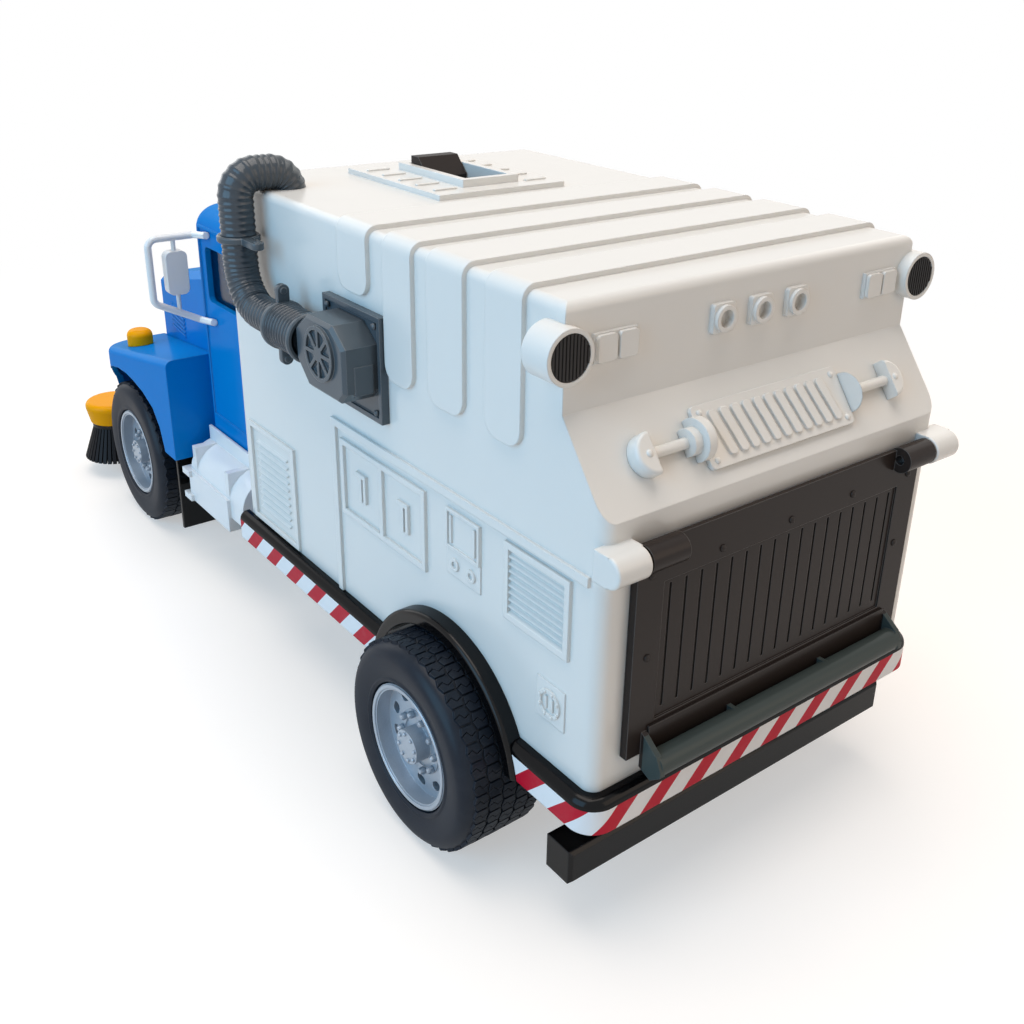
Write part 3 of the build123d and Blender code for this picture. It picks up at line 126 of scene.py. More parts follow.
# The floor's own colour is pale paint; a little light of its own lifts it to white
# for the camera, and from below it is clear, so that the underside can be seen.
floor_paint, tree = new_material("floor_matt_paint")
place = add(tree, "ShaderNodeTexCoord")
away = add(tree, "ShaderNodeVectorMath", {"operation": "LENGTH"}, {0: place.outputs["Object"]})
fade = add(
    tree,
    "ShaderNodeMapRange",
    {"interpolation_type": "SMOOTHSTEP", "From Min": floor_fade[0], "From Max": floor_fade[1]},
    {"Value": away.outputs["Value"]},
)
paint = add(tree, "ShaderNodeBsdfDiffuse", {"Color": linear(floor_colour)})
own_light = add(tree, "ShaderNodeEmission", {"Color": (1.0, 1.0, 1.0, 1.0), "Strength": floor_lift})
full_light = add(tree, "ShaderNodeEmission", {"Color": (1.0, 1.0, 1.0, 1.0), "Strength": 1.0})
lifted = add(tree, "ShaderNodeAddShader", links={0: paint, 1: own_light})
faded = add(tree, "ShaderNodeMixShader", links={0: fade, 1: lifted, 2: full_light})
shown = add(tree, "ShaderNodeMixShader", links={0: seen_rays(tree), 1: paint, 2: faded})
clear = add(tree, "ShaderNodeBsdfTransparent")
sides = add(tree, "ShaderNodeNewGeometry")
floor_out = add(tree, "ShaderNodeMixShader", links={0: sides.outputs["Backfacing"], 1: shown, 2: clear})
add(tree, "ShaderNodeOutputMaterial", links={"Surface": floor_out})
floor_mesh = bpy.data.meshes.new("floor")
corners = [(x * floor_half, y * floor_half, 0.0) for x, y in ((-1, -1), (1, -1), (1, 1), (-1, 1))]
floor_mesh.from_pydata(corners, [], [(0, 1, 2, 3)])
floor_mesh.materials.append(floor_paint)
floor = bpy.data.objects.new("floor", floor_mesh)
scene.collection.objects.link(floor)

for name, place, size, colour, power in lamp_table:
    light = bpy.data.lights.new(name, "AREA")
    light.shape = "SQUARE"
    light.size = size
    light.energy = power
    light.color = linear(colour)[:3]
    lamp = bpy.data.objects.new(name, light)
    lamp.location = place
    lamp.rotation_euler = (Vector(lamps_aim) - Vector(place)).to_track_quat("-Z", "Y").to_euler()
    scene.collection.objects.link(lamp)

camera_data = bpy.data.cameras.new("photo_camera")
camera_data.sensor_width = sensor
camera_data.lens = focal_px * sensor / photo_px
camera_data.shift_x = -(photo_centre_px[0] - photo_px / 2) / photo_px
camera_data.shift_y = (photo_centre_px[1] - photo_px / 2) / photo_px
camera_data.clip_start, camera_data.clip_end = camera_reach
camera = bpy.data.objects.new("photo_camera", camera_data)
turn = Matrix((camera_right, camera_up, tuple(-v for v in camera_ahead))).transposed()
camera.matrix_world = Matrix.Translation(camera_place) @ turn.to_4x4()
scene.collection.objects.link(camera)
scene.camera = camera

# Chassis, bumpers, arch flares and mud flaps: black ABS, injection moulded in a
# polished tool and clipped under the body. Deep black with sharp highlights along
# its rounded edges and the finest orange peel.
black_code = "09090B"
black_peel_mm = 1.4
peel_deep_mm = 0.1
cloud_mm = 38
rubbed_mm = 17
# Reach of the painted shade in creases.
shade_reach_mm = 3.0
black_nodes = (
    "chassis",
    "rear_bumper",
    "front_bumper",
    "flare_left",
    "flare_right",
    "mud_flap_left",
    "mud_flap_right",
)


def moulded(
    name,
    code,
    shine,
    peel_mm,
    edge_mm=0.35,
    wear_and_highlight=0.05,
    cloudy=0.05,
    peel=0.04,
    crease_shade=0.0,
    gloss=0.5,
):
    """Moulded plastic: cloudy colour, orange peel, soft edges painted paler for wear and a painted highlight,
    and painted shade in its creases.
    """
    made, tree = new_material(name)
    place = add(tree, "ShaderNodeTexCoord").outputs["Object"]
    soft_edge = add(tree, "ShaderNodeBevel", {"samples": 10, "Radius": edge_mm * mm})
    surface = add(tree, "ShaderNodeNewGeometry")
    facing = add(
        tree,
        "ShaderNodeVectorMath",
        {"operation": "DOT_PRODUCT"},
        {0: soft_edge, 1: surface.outputs["Normal"]},
    )
    # Soft edges painted paler: a little wear, and where the share is large a painted highlight along the
    # rounded edges. They are rougher too.
    edge = add(
        tree,
        "ShaderNodeMapRange",
        {"From Min": 0.995, "From Max": 0.90, "To Min": 0.0, "To Max": wear_and_highlight},
        {"Value": facing.outputs["Value"]},
    )
    cloud = add(
        tree,
        "ShaderNodeTexNoise",
        {"Scale": 1 / (cloud_mm * mm), "Detail": 3.0, "Roughness": 0.55},
        {"Vector": place},
    )
    fine = add(tree, "ShaderNodeTexNoise", {"Scale": 1 / (peel_mm * mm), "Detail": 0.0}, {"Vector": place})
    rubbed = add(
        tree,
        "ShaderNodeTexNoise",
        {"Scale": 1 / (rubbed_mm * mm), "Detail": 2.0, "Roughness": 0.5},
        {"Vector": place},
    )
    base = linear(code)
    deep = tuple(v * (1 - 3 * cloudy) for v in base[:3]) + (1.0,)
    pale = tuple(v + (1 - v) * 0.5 for v in base[:3]) + (1.0,)
    tint = add(tree, "ShaderNodeMix", {"data_type": "RGBA", 6: deep, 7: base}, {0: cloud.outputs["Fac"]})
    tint = add(tree, "ShaderNodeMix", {"data_type": "RGBA", 7: pale}, {0: edge, 6: tint.outputs[2]})
    # Painted shade: the colour darkens towards a dim grey of itself in creases, where near surfaces hide the
    # light.
    if crease_shade:
        near = add(tree, "ShaderNodeAmbientOcclusion", {"samples": 12, "Distance": shade_reach_mm * mm})
        painted_shade = add(
            tree,
            "ShaderNodeMapRange",
            {"From Min": 0.0, "From Max": 0.85, "To Min": crease_shade, "To Max": 0.0},
            {"Value": near.outputs["AO"]},
        )
        grey = tuple(v * 0.42 for v in base[:3]) + (1.0,)
        tint = add(tree, "ShaderNodeMix", {"data_type": "RGBA", 7: grey}, {0: painted_shade, 6: tint.outputs[2]})
    rough = add(
        tree,
        "ShaderNodeMapRange",
        {"From Min": 0.1, "From Max": 0.9, "To Min": shine - 0.01, "To Max": shine + 0.04},
        {"Value": rubbed.outputs["Fac"]},
    )
    rough = add(tree, "ShaderNodeMath", {"operation": "ADD"}, {0: rough, 1: edge})
    bump = add(
        tree,
        "ShaderNodeBump",
        {"Strength": peel, "Distance": peel_deep_mm * mm},
        {"Height": fine.outputs["Fac"], "Normal": soft_edge},
    )
    body = add(
        tree,
        "ShaderNodeBsdfPrincipled",
        {"Specular IOR Level": 0.0, "Coat Weight": gloss},
        {"Base Color": tint.outputs[2], "Coat Roughness": rough, "Normal": bump, "Coat Normal": bump},
    )
    add(tree, "ShaderNodeOutputMaterial", links={"Surface": body})
    return made


def finish_nodes(names, material):
    """Gives carried-over CAD nodes their finish."""
    for name in names:
        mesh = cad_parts[name].data
        mesh.materials.clear()
        mesh.materials.append(material)


black_abs = moulded(
    "black_abs_polished",
    black_code,
    shine=0.11,
    peel_mm=black_peel_mm,
    edge_mm=0.7,
    wear_and_highlight=0.04,
    cloudy=0.1,
    gloss=0.45,
)
finish_nodes(black_nodes, black_abs)

# Axle rods and the door's two stub pins: mild steel wire, drawn bright and cut to
# length. Drawing leaves a fine grain on it, and handling a smoky tarnish.
steel_code = "B9BABC"
draw_grain_mm = 0.5
grain_deep_mm = 0.05
tarnish_mm = 9
steel_nodes = ("axle_front", "axle_rear", "door_pin")


def drawn_steel(name, code):
    """Bright drawn steel, with a fine grain and a smoky tarnish."""
    made, tree = new_material(name)
    place = add(tree, "ShaderNodeTexCoord").outputs["Object"]
    grain = add(
        tree,
        "ShaderNodeTexNoise",
        {"Scale": 1 / (draw_grain_mm * mm), "Detail": 2.0},
        {"Vector": place},
    )
    smoke = add(
        tree,
        "ShaderNodeTexNoise",
        {"Scale": 1 / (tarnish_mm * mm), "Detail": 3.0},
        {"Vector": place},
    )
    base = linear(code)
    dull = tuple(v * 0.7 for v in base[:3]) + (1.0,)
    tint = add(tree, "ShaderNodeMix", {"data_type": "RGBA", 6: dull, 7: base}, {0: smoke.outputs["Fac"]})
    rough = add(tree, "ShaderNodeMapRange", {"To Min": 0.2, "To Max": 0.38}, {"Value": grain.outputs["Fac"]})
    bump = add(
        tree,
        "ShaderNodeBump",
        {"Strength": 0.05, "Distance": grain_deep_mm * mm},
        {"Height": grain.outputs["Fac"]},
    )
    body = add(
        tree,
        "ShaderNodeBsdfPrincipled",
        {"Metallic": 1.0},
        {"Base Color": tint.outputs[2], "Roughness": rough, "Normal": bump},
    )
    add(tree, "ShaderNodeOutputMaterial", links={"Surface": body})
    return made


bright_steel = drawn_steel("mild_steel_drawn_bright", steel_code)
finish_nodes(steel_nodes, bright_steel)

# Wheel rims: silver-pigmented ABS mouldings pressed on the axle ends. A ring of ten
# nuts stands round the hub cap, with eight small bolts on its face and a turned bead
# round the rim's lip. Metal flake gives a soft, slightly grainy sheen.
silver_code = "ABB5C0"
flake_mm = 0.45
flake_deep_mm = 0.08
sheen_cloud_mm = 26
rim_edge_mm = 0.3
wheel_table = [
    ("rear_left", 1),
    ("rear_right", -1),
    ("front_left", 1),
    ("front_right", -1),
]
rim_lip = 1.6
rim_dish = 7.0
lug_count = 10
lug_ring_r = 10.3
lug_ring_proud = 0.6
lug_start = 0.5
lug_across = 1.35
lug_high = 2.0
lug_profile = [(lug_across, 0), (lug_across, lug_high * 0.6), (lug_across * 0.62, lug_high), (0, lug_high)]
cap_proud = 5.6
cap_bolts = 8
cap_bolt_start = 0.25
cap_bolt_ring_r = 4.9
cap_bolt_profile = [(0.75, -0.2), (0.75, 0.35), (0.375, 0.6), (0, 0.6)]
lip_bead = (20.9, 22.3, 0.45)
lip_round = 0.3
quarter = math.radians(90)


def new_mesh(name, build):
    """A mesh from a function that fills a bmesh, with doubles merged and its faces turned outwards."""
    work = bmesh.new()
    build(work)
    bmesh.ops.remove_doubles(work, verts=work.verts, dist=1e-7)
    bmesh.ops.recalc_face_normals(work, faces=work.faces)
    mesh = bpy.data.meshes.new(name)
    work.to_mesh(mesh)
    work.free()
    return mesh


def circle(work, radius, height, around):
    """A circle of vertices round Z, or one vertex where the radius is zero, from millimetres."""
    if radius == 0:
        return [work.verts.new((0.0, 0.0, height * mm))]
    angles = [2 * math.pi * i / around for i in range(around)]
    return [
        work.verts.new((radius * mm * math.cos(a), radius * mm * math.sin(a), height * mm)) for a in angles
    ]


def turned(name, profile, around):
    """A solid turned about Z from (radius, height) pairs in millimetres, its ends closed."""

    def build(work):
        rings = [circle(work, radius, height, around) for radius, height in profile]
        for low, high in zip(rings, rings[1:]):
            for i in range(around):
                j = i + 1
                quad = [low[i % len(low)], low[j % len(low)], high[j % len(high)], high[i % len(high)]]
                work.faces.new(list(dict.fromkeys(quad)))
        for end in (rings[0], rings[-1]):
            if len(end) > 2:
                work.faces.new(end)

    return new_mesh(name, build)


def turned_ring(name, profile, around):
    """A ring turned about Z from a closed outline of (radius, height) pairs in millimetres."""

    def build(work):
        rings = [circle(work, radius, height, around) for radius, height in profile]
        for low, high in zip(rings, rings[1:] + rings[:1]):
            for i in range(around):
                j = (i + 1) % around
                work.faces.new((low[i], low[j], high[j], high[i]))

    return new_mesh(name, build)


def new_tree(name, sockets):
    """A Geometry Nodes tree with a geometry input, named inputs and one output."""
    tree = bpy.data.node_groups.new(name, "GeometryNodeTree")
    tree.interface.new_socket("Geometry", in_out="INPUT", socket_type="NodeSocketGeometry")
    for label, kind in sockets:
        tree.interface.new_socket(label, in_out="INPUT", socket_type="NodeSocket" + kind)
    tree.interface.new_socket("Geometry", in_out="OUTPUT", socket_type="NodeSocketGeometry")
    return tree, tree.nodes.new("NodeGroupInput")


def close_tree(tree, geometry, given):
    """Ends a tree in real geometry with its material."""
    real = add(tree, "GeometryNodeRealizeInstances", links={0: geometry})
    painted = add(
        tree,
        "GeometryNodeSetMaterial",
        links={"Geometry": real, "Material": given.outputs["Material"]},
    )
    add(tree, "NodeGroupOutput", links={0: painted})


def grown(seed, tree, values, move=None):
    """The mesh that a tree makes from a seed mesh or curve, with its inputs given by name."""
    holder = bpy.data.objects.new("holder", seed)
    scene.collection.objects.link(holder)
    modifier = holder.modifiers.new("grown", "NODES")
    modifier.node_group = tree
    for item in tree.interface.items_tree:
        if item.in_out == "INPUT" and item.name in values:
            modifier[item.identifier] = values[item.name]
    bpy.context.view_layer.update()
    made = bpy.data.meshes.new_from_object(holder.evaluated_get(bpy.context.evaluated_depsgraph_get()))
    bpy.data.objects.remove(holder)
    if move is not None:
        made.transform(move)
    return made


def joined(name, meshes):
    """Several meshes as one."""
    work = bmesh.new()
    for mesh in meshes:
        work.from_mesh(mesh)
    mesh = bpy.data.meshes.new(name)
    work.to_mesh(mesh)
    work.free()
    return mesh


def show(name, mesh, body, material, stands_for=(), sharp=35):
    """Makes a piece of the truck from a mesh in its place, smooth but for sharp edges, on its body."""
    mesh.name = name
    mesh.materials.clear()
    mesh.materials.append(material)
    for face in mesh.polygons:
        face.use_smooth = True
        face.material_index = 0
    mesh.set_sharp_from_angle(angle=math.radians(sharp))
    piece = bpy.data.objects.new(name, mesh)
    scene.collection.objects.link(piece)
    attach(piece, body)
    if stands_for:
        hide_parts(*stands_for)
    return piece


def ring_tree():
    """Stands copies of the seed in a ring round Y, each with its Z outwards, the ring shifted along Y."""
    sockets = [
        ("Count", "Int"),
        ("Radius", "Float"),
        ("Shift", "Float"),
        ("Start", "Float"),
        ("Material", "Material"),
    ]
    tree, given = new_tree("ring_of_copies", sockets)
    index = add(tree, "GeometryNodeInputIndex")
    step = add(tree, "ShaderNodeMath", {"operation": "ADD"}, {0: index, 1: given.outputs["Start"]})
    share = add(tree, "ShaderNodeMath", {"operation": "DIVIDE"}, {0: step, 1: given.outputs["Count"]})
    angle = add(tree, "ShaderNodeMath", {"operation": "MULTIPLY", 1: 2 * math.pi}, {0: share})
    across = add(tree, "ShaderNodeMath", {"operation": "SINE"}, {0: angle})
    up = add(tree, "ShaderNodeMath", {"operation": "COSINE"}, {0: angle})
    x = add(tree, "ShaderNodeMath", {"operation": "MULTIPLY"}, {0: across, 1: given.outputs["Radius"]})
    z = add(tree, "ShaderNodeMath", {"operation": "MULTIPLY"}, {0: up, 1: given.outputs["Radius"]})
    spot = add(tree, "ShaderNodeCombineXYZ", links={0: x, 1: given.outputs["Shift"], 2: z})
    spots = add(tree, "GeometryNodePoints", links={"Count": given.outputs["Count"], "Position": spot})
    angles = add(tree, "ShaderNodeCombineXYZ", links={1: angle})
    stand = add(tree, "FunctionNodeEulerToRotation", links={0: angles})
    copies = add(
        tree,
        "GeometryNodeInstanceOnPoints",
        links={"Points": spots, "Instance": given.outputs["Geometry"], "Rotation": stand},
    )
    close_tree(tree, copies, given)
    return tree


ring_of_copies = ring_tree()


def flaked(name, code, shine):
    """Silver-pigmented plastic: a half metallic sheen with fine flake and a soft cloudiness."""
    made, tree = new_material(name)
    place = add(tree, "ShaderNodeTexCoord").outputs["Object"]
    soft_edge = add(tree, "ShaderNodeBevel", {"samples": 8, "Radius": rim_edge_mm * mm})
    flake = add(tree, "ShaderNodeTexVoronoi", {"Scale": 1 / (flake_mm * mm)}, {"Vector": place})
    cloud = add(
        tree,
        "ShaderNodeTexNoise",
        {"Scale": 1 / (sheen_cloud_mm * mm), "Detail": 2.0},
        {"Vector": place},
    )
    base = linear(code)
    deep = tuple(v * 0.8 for v in base[:3]) + (1.0,)
    shade = add(
        tree,
        "ShaderNodeMath",
        {"operation": "MULTIPLY_ADD", 1: 0.35, 2: 0.45},
        {0: flake.outputs["Distance"]},
    )
    shade = add(tree, "ShaderNodeMath", {"operation": "MULTIPLY"}, {0: shade, 1: cloud.outputs["Fac"]})
    shade = add(tree, "ShaderNodeMapRange", {"From Min": 0.15, "From Max": 0.5}, {"Value": shade})
    tint = add(tree, "ShaderNodeMix", {"data_type": "RGBA", 6: deep, 7: base}, {0: shade})
    rough = add(
        tree,
        "ShaderNodeMapRange",
        {"To Min": shine - 0.06, "To Max": shine + 0.1},
        {"Value": cloud.outputs["Fac"]},
    )
    bump = add(
        tree,
        "ShaderNodeBump",
        {"Strength": 0.06, "Distance": flake_deep_mm * mm},
        {"Height": flake.outputs["Distance"], "Normal": soft_edge},
    )
    body = add(
        tree,
        "ShaderNodeBsdfPrincipled",
        {"Metallic": 0.45, "IOR": 1.5},
        {"Base Color": tint.outputs[2], "Roughness": rough, "Normal": bump},
    )
    add(tree, "ShaderNodeOutputMaterial", links={"Surface": body})
    return made


silver_abs = flaked("silver_abs_moulded", silver_code, 0.33)
finish_nodes(["rim_" + name for name, side in wheel_table], silver_abs)
nut = turned("lug_nut", lug_profile, 6)
nut.transform(Matrix.Rotation(-quarter, 4, "X"))
for name, side in wheel_table:
    low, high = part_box("rim_" + name)
    hub = (low + high) / 2
    outer = (high.y if side > 0 else -low.y) + rim_lip * mm
    values = {"Count": lug_count, "Radius": lug_ring_r * mm, "Start": lug_start, "Material": silver_abs}
    values["Shift"] = outer - (rim_dish - lug_ring_proud) * mm
    face = outer - (rim_dish - cap_proud) * mm
    bolt = turned("bolt", cap_bolt_profile, 12)
    bolt.transform(Matrix.Rotation(-quarter, 4, "X"))
    bolt_values = {"Count": cap_bolts, "Radius": cap_bolt_ring_r * mm, "Start": cap_bolt_start, "Shift": face}
    bolt_values["Material"] = silver_abs
    low_r, high_r, bead_high = lip_bead
    bead = [
        (low_r, -lip_round),
        (low_r, bead_high * 0.5),
        (low_r + lip_round, bead_high),
        (high_r - lip_round, bead_high),
        (high_r, bead_high * 0.5),
        (high_r, -lip_round),
    ]
    lip = turned_ring("lip", bead, 96)
    lip.transform(Matrix.Translation((0, outer - rim_lip * mm, 0)) @ Matrix.Rotation(-quarter, 4, "X"))
    nuts = joined("nuts", [grown(nut, ring_of_copies, values), grown(bolt, ring_of_copies, bolt_values), lip])
    nuts.transform(Matrix.Translation((hub.x, 0, hub.z)) @ Matrix.Diagonal((1, side, 1, 1)))
    if side < 0:
        nuts.flip_normals()
    show("lug_nuts_" + name, nuts, "wheel_" + name, silver_abs)

# Tyres: soft black PVC, moulded in two halves and stretched over the rims. Smooth,
# round-shouldered sidewalls with a satin shine, and a shallow tread of close zigzag
# blocks, each cut in two by a fine slit.
tyre_code = "1A212B"
scuff_mm = 9
skin_mm = 0.9
skin_deep_mm = 0.1
tyre_edge_mm = 0.3
tyre_r = 38.0
tread_r_share = 0.979
tread_pitch = 6.0
tread_gap = 0.75
tread_slit = 0.35
rear_rows = 5
front_rows = 3
tread_wide_share = 0.80
bead_section = [(0.600, 0.80), (0.612, 0.93), (0.640, 0.965), (0.662, 0.945), (0.700, 0.965), (0.770, 0.995)]
shoulder_centre = (0.835, 0.64)
shoulder_wide_share = 0.998
shoulder_points = 12
tread_point_share = 0.14
slit_kink_share = 0.16
outer_row_sunk = 0.3
block_foot = 0.6
block_low = 0.1


def vinyl(name, code):
    """Soft black PVC with a satin skin, scuffed a little greyer and rougher in patches."""
    made, tree = new_material(name)
    place = add(tree, "ShaderNodeTexCoord").outputs["Object"]
    soft_edge = add(tree, "ShaderNodeBevel", {"samples": 8, "Radius": tyre_edge_mm * mm})
    scuff = add(
        tree,
        "ShaderNodeTexNoise",
        {"Scale": 1 / (scuff_mm * mm), "Detail": 4.0, "Roughness": 0.6},
        {"Vector": place},
    )
    skin = add(tree, "ShaderNodeTexNoise", {"Scale": 1 / (skin_mm * mm), "Detail": 1.0}, {"Vector": place})
    base = linear(code)
    dusty = tuple(v + 0.008 for v in base[:3]) + (1.0,)
    patch = add(
        tree,
        "ShaderNodeMapRange",
        {"From Min": 0.4, "From Max": 0.75},
        {"Value": scuff.outputs["Fac"]},
    )
    tint = add(tree, "ShaderNodeMix", {"data_type": "RGBA", 6: base, 7: dusty}, {0: patch})
    rough = add(tree, "ShaderNodeMapRange", {"To Min": 0.30, "To Max": 0.42}, {"Value": patch})
    bump = add(
        tree,
        "ShaderNodeBump",
        {"Strength": 0.08, "Distance": skin_deep_mm * mm},
        {"Height": skin.outputs["Fac"], "Normal": soft_edge},
    )
    body = add(
        tree,
        "ShaderNodeBsdfPrincipled",
        {"Specular IOR Level": 0.0, "Coat Weight": 0.35},
        {"Base Color": tint.outputs[2], "Coat Roughness": rough, "Normal": bump, "Coat Normal": bump},
    )
    add(tree, "ShaderNodeOutputMaterial", links={"Surface": body})
    return made


def tread_block(long, wide, point, foot, top):
    """A pointed block of tread, its length along X, as two halves either side of a zigzag slit."""

    def build(work):
        for side in (-1, 1):
            kink = slit_kink_share * long
            rim = [
                (side * long / 2, -wide / 2),
                (side * long / 2, wide / 2),
                (side * tread_slit / 2, wide / 2 + point),
                (side * tread_slit / 2 + kink, wide / 6),
                (side * tread_slit / 2 - kink, -wide / 6),
                (side * tread_slit / 2, -wide / 2 - point),
            ]
            low = [work.verts.new((x * mm, y * mm, foot * mm)) for x, y in rim]
            high = [work.verts.new((x * mm, y * mm, top * mm)) for x, y in rim]
            work.faces.new(low)
            work.faces.new(high)
            for i in range(len(rim)):
                j = (i + 1) % len(rim)
                work.faces.new((low[i], low[j], high[j], high[i]))

    return new_mesh("tread_block", build)


black_vinyl = vinyl("black_vinyl_moulded", tyre_code)
for name, side in wheel_table:
    low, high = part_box("tyre_" + name)
    hub = (low + high) / 2
    half = (high.y - low.y) / 2 / mm
    section = list(bead_section)
    r_reach = tread_r_share - shoulder_centre[0]
    w_reach = shoulder_wide_share - shoulder_centre[1]
    for i in range(shoulder_points + 1):
        a = quarter * i / shoulder_points
        section.append(
            (shoulder_centre[0] + r_reach * math.sin(a), shoulder_centre[1] + w_reach * math.cos(a)),
        )
    outline = [(r * tyre_r, -w * half) for r, w in section]
    outline += [(r * tyre_r, w * half) for r, w in reversed(section)]
    carcass = turned_ring("carcass", outline, 128)
    carcass.transform(Matrix.Rotation(-quarter, 4, "X"))
    rows = rear_rows if name.startswith("rear") else front_rows
    count = round(2 * math.pi * tyre_r / tread_pitch)
    long = 2 * math.pi * tyre_r / count - tread_gap
    row_step = 2 * tread_wide_share * half / rows
    point = row_step * tread_point_share
    tread_deep = tyre_r * (1 - tread_r_share)
    parts = [carcass]
    for i in range(rows):
        away = abs(2 * i + 1 - rows) / rows
        sunk = outer_row_sunk * away**4
        block = tread_block(
            long,
            row_step - tread_gap - point,
            point,
            -block_foot,
            tread_deep - block_low - sunk,
        )
        values = {"Count": count, "Radius": tyre_r * tread_r_share * mm, "Material": black_vinyl}
        values["Start"] = 0.5 * (i % 2)
        values["Shift"] = (i - (rows - 1) / 2) * row_step * mm
        parts.append(grown(block, ring_of_copies, values))
    tyre = joined("tyre", parts)
    tyre.transform(Matrix.Translation(hub))
    show("tread_" + name, tyre, "wheel_" + name, black_vinyl, ["tyre_" + name])

# Hopper: one white ABS moulding with its panel lines, hatches, louvres and lamp
# pads in low relief. Cool white with a polished skin, painted shade held in the
# corners of the relief, and rounded edges painted paler as a highlight.
white_code = "E7E6E2"
white_nodes = ("hopper", "slope_plate", "spindle_left", "spindle_right")
roof_rib = (1.7, 10.0, 0.8, 0.35)
roof_rib_sunk = 0.15
roof_rib_y = (21.0, -21.0)
roof_rib_x = 156.0
roof_rib_pitch = 12.0
roof_rib_count = 5
roof_panel_z = 206.2
middle_x = 223.5


def station(x, y, z):
    """A point counted in millimetres from the hopper's rear face, as a point of the frame in metres."""
    return Vector(((x - middle_x) * mm, y * mm, z * mm))


def rounded_block(name, long, wide, high, edge):
    """A block standing on z = 0 with rounded edges."""

    def build(work):
        made = bmesh.ops.create_cube(work, size=1.0)["verts"]
        for v in made:
            v.co = Vector((v.co.x * long, v.co.y * wide, (v.co.z + 0.5) * high)) * mm
        bmesh.ops.bevel(work, geom=work.edges[:], offset=edge * mm, segments=3, profile=0.6, affect="EDGES")

    return new_mesh(name, build)


def row_tree():
    """Sets copies of the seed in a row, one step apart."""
    tree, given = new_tree("row_of_copies", [("Count", "Int"), ("Step", "Vector"), ("Material", "Material")])
    index = add(tree, "GeometryNodeInputIndex")
    spot = add(
        tree,
        "ShaderNodeVectorMath",
        {"operation": "SCALE"},
        {0: given.outputs["Step"], "Scale": index},
    )
    spots = add(tree, "GeometryNodePoints", links={"Count": given.outputs["Count"], "Position": spot})
    copies = add(
        tree,
        "GeometryNodeInstanceOnPoints",
        links={"Points": spots, "Instance": given.outputs["Geometry"]},
    )
    close_tree(tree, copies, given)
    return tree


row_of_copies = row_tree()
# Painted shade in the creases, and rounded edges painted paler: a painted highlight with a little wear.
white_abs = moulded(
    "white_abs_polished",
    white_code,
    shine=0.20,
    peel_mm=2.2,
    edge_mm=0.6,
    wear_and_highlight=0.5,
    cloudy=0.010,
    peel=0.03,
    crease_shade=0.35,
    gloss=0.9,
)
finish_nodes(white_nodes, white_abs)
ribs = []
for y in roof_rib_y:
    rib = rounded_block("rib", *roof_rib)
    values = {"Count": roof_rib_count, "Step": (roof_rib_pitch * mm, 0, 0), "Material": white_abs}
    first_place = Matrix.Translation(station(roof_rib_x, y, roof_panel_z - roof_rib_sunk))
    ribs.append(grown(rib, row_of_copies, values, first_place))
show("roof_ribs", joined("roof_ribs", ribs), "truck", white_abs)

# Ring plates low on both sides: small studs on the ring and two upright bars in it,
# moulded with the white body.
ring_plate_at = (19.75, 80.5)
ring_stud_r = 4.35
ring_studs = 8
ring_face_y = 76.2
ring_stud_profile = [(0.6, -0.2), (0.6, 0.3), (0.35, 0.5), (0, 0.5)]
ring_bars = (-1.5, 1.5)
ring_bar = (1.0, 1.2, 4.6, 0.3)
ring_bar_sunk = 0.6
marks = []
for side in (1, -1):
    stud = turned("stud", ring_stud_profile, 12)
    stud.transform(Matrix.Rotation(-quarter, 4, "X"))
    values = {"Count": ring_studs, "Radius": ring_stud_r * mm, "Start": 0.5, "Material": white_abs}
    values["Shift"] = ring_face_y * mm
    studs = grown(stud, ring_of_copies, values)
    plate_middle = Matrix.Translation(station(ring_plate_at[0], 0, ring_plate_at[1]))
    studs.transform(plate_middle @ Matrix.Diagonal((1, side, 1, 1)))
    if side < 0:
        studs.flip_normals()
    marks.append(studs)
    for shift in ring_bars:
        bar = rounded_block("bar", *ring_bar)
        bar_y = side * (ring_face_y - ring_bar_sunk)
        bar.transform(
            Matrix.Translation(station(ring_plate_at[0] + shift, bar_y, ring_plate_at[1] - ring_bar[2] / 2)),
        )
        marks.append(bar)
show("ring_plate_marks", joined("ring_plate_marks", marks), "truck", white_abs)

# Rear door, roof slider and blower: dark ABS with a satin skin and painted shade in
# its creases. The bar along the door's foot is painted lighter and greener than the
# door, painted light on the same plastic. The small domed screw heads are moulded, in
# each piece's own colour. The pair for the pivot bosses lies hidden round the pin in
# the door's knuckles.
screw_r = 1.25
screw_high = 0.8
door_face_x = -3.05
foot_plate_size = (1.1, 113.4, 11.6, 0.35)
foot_plate_behind = 0.35
foot_plate_z = 66.2
pivot_x = -4.6
pivot_z = 137.0
boss_half = 77.3
boss_end_r = 1.7
boss_end_high = 0.7
boss_end_shape = (1, 0.8, 2.2, 1)
door_screws = [
    (30.8, 129.3),
    (0.3, 129.6),
    (-29.5, 130.0),
    (58.9, 102.5),
    (59.2, 129.5),
    (-57.5, 103.6),
    (-59.2, 129.5),
]


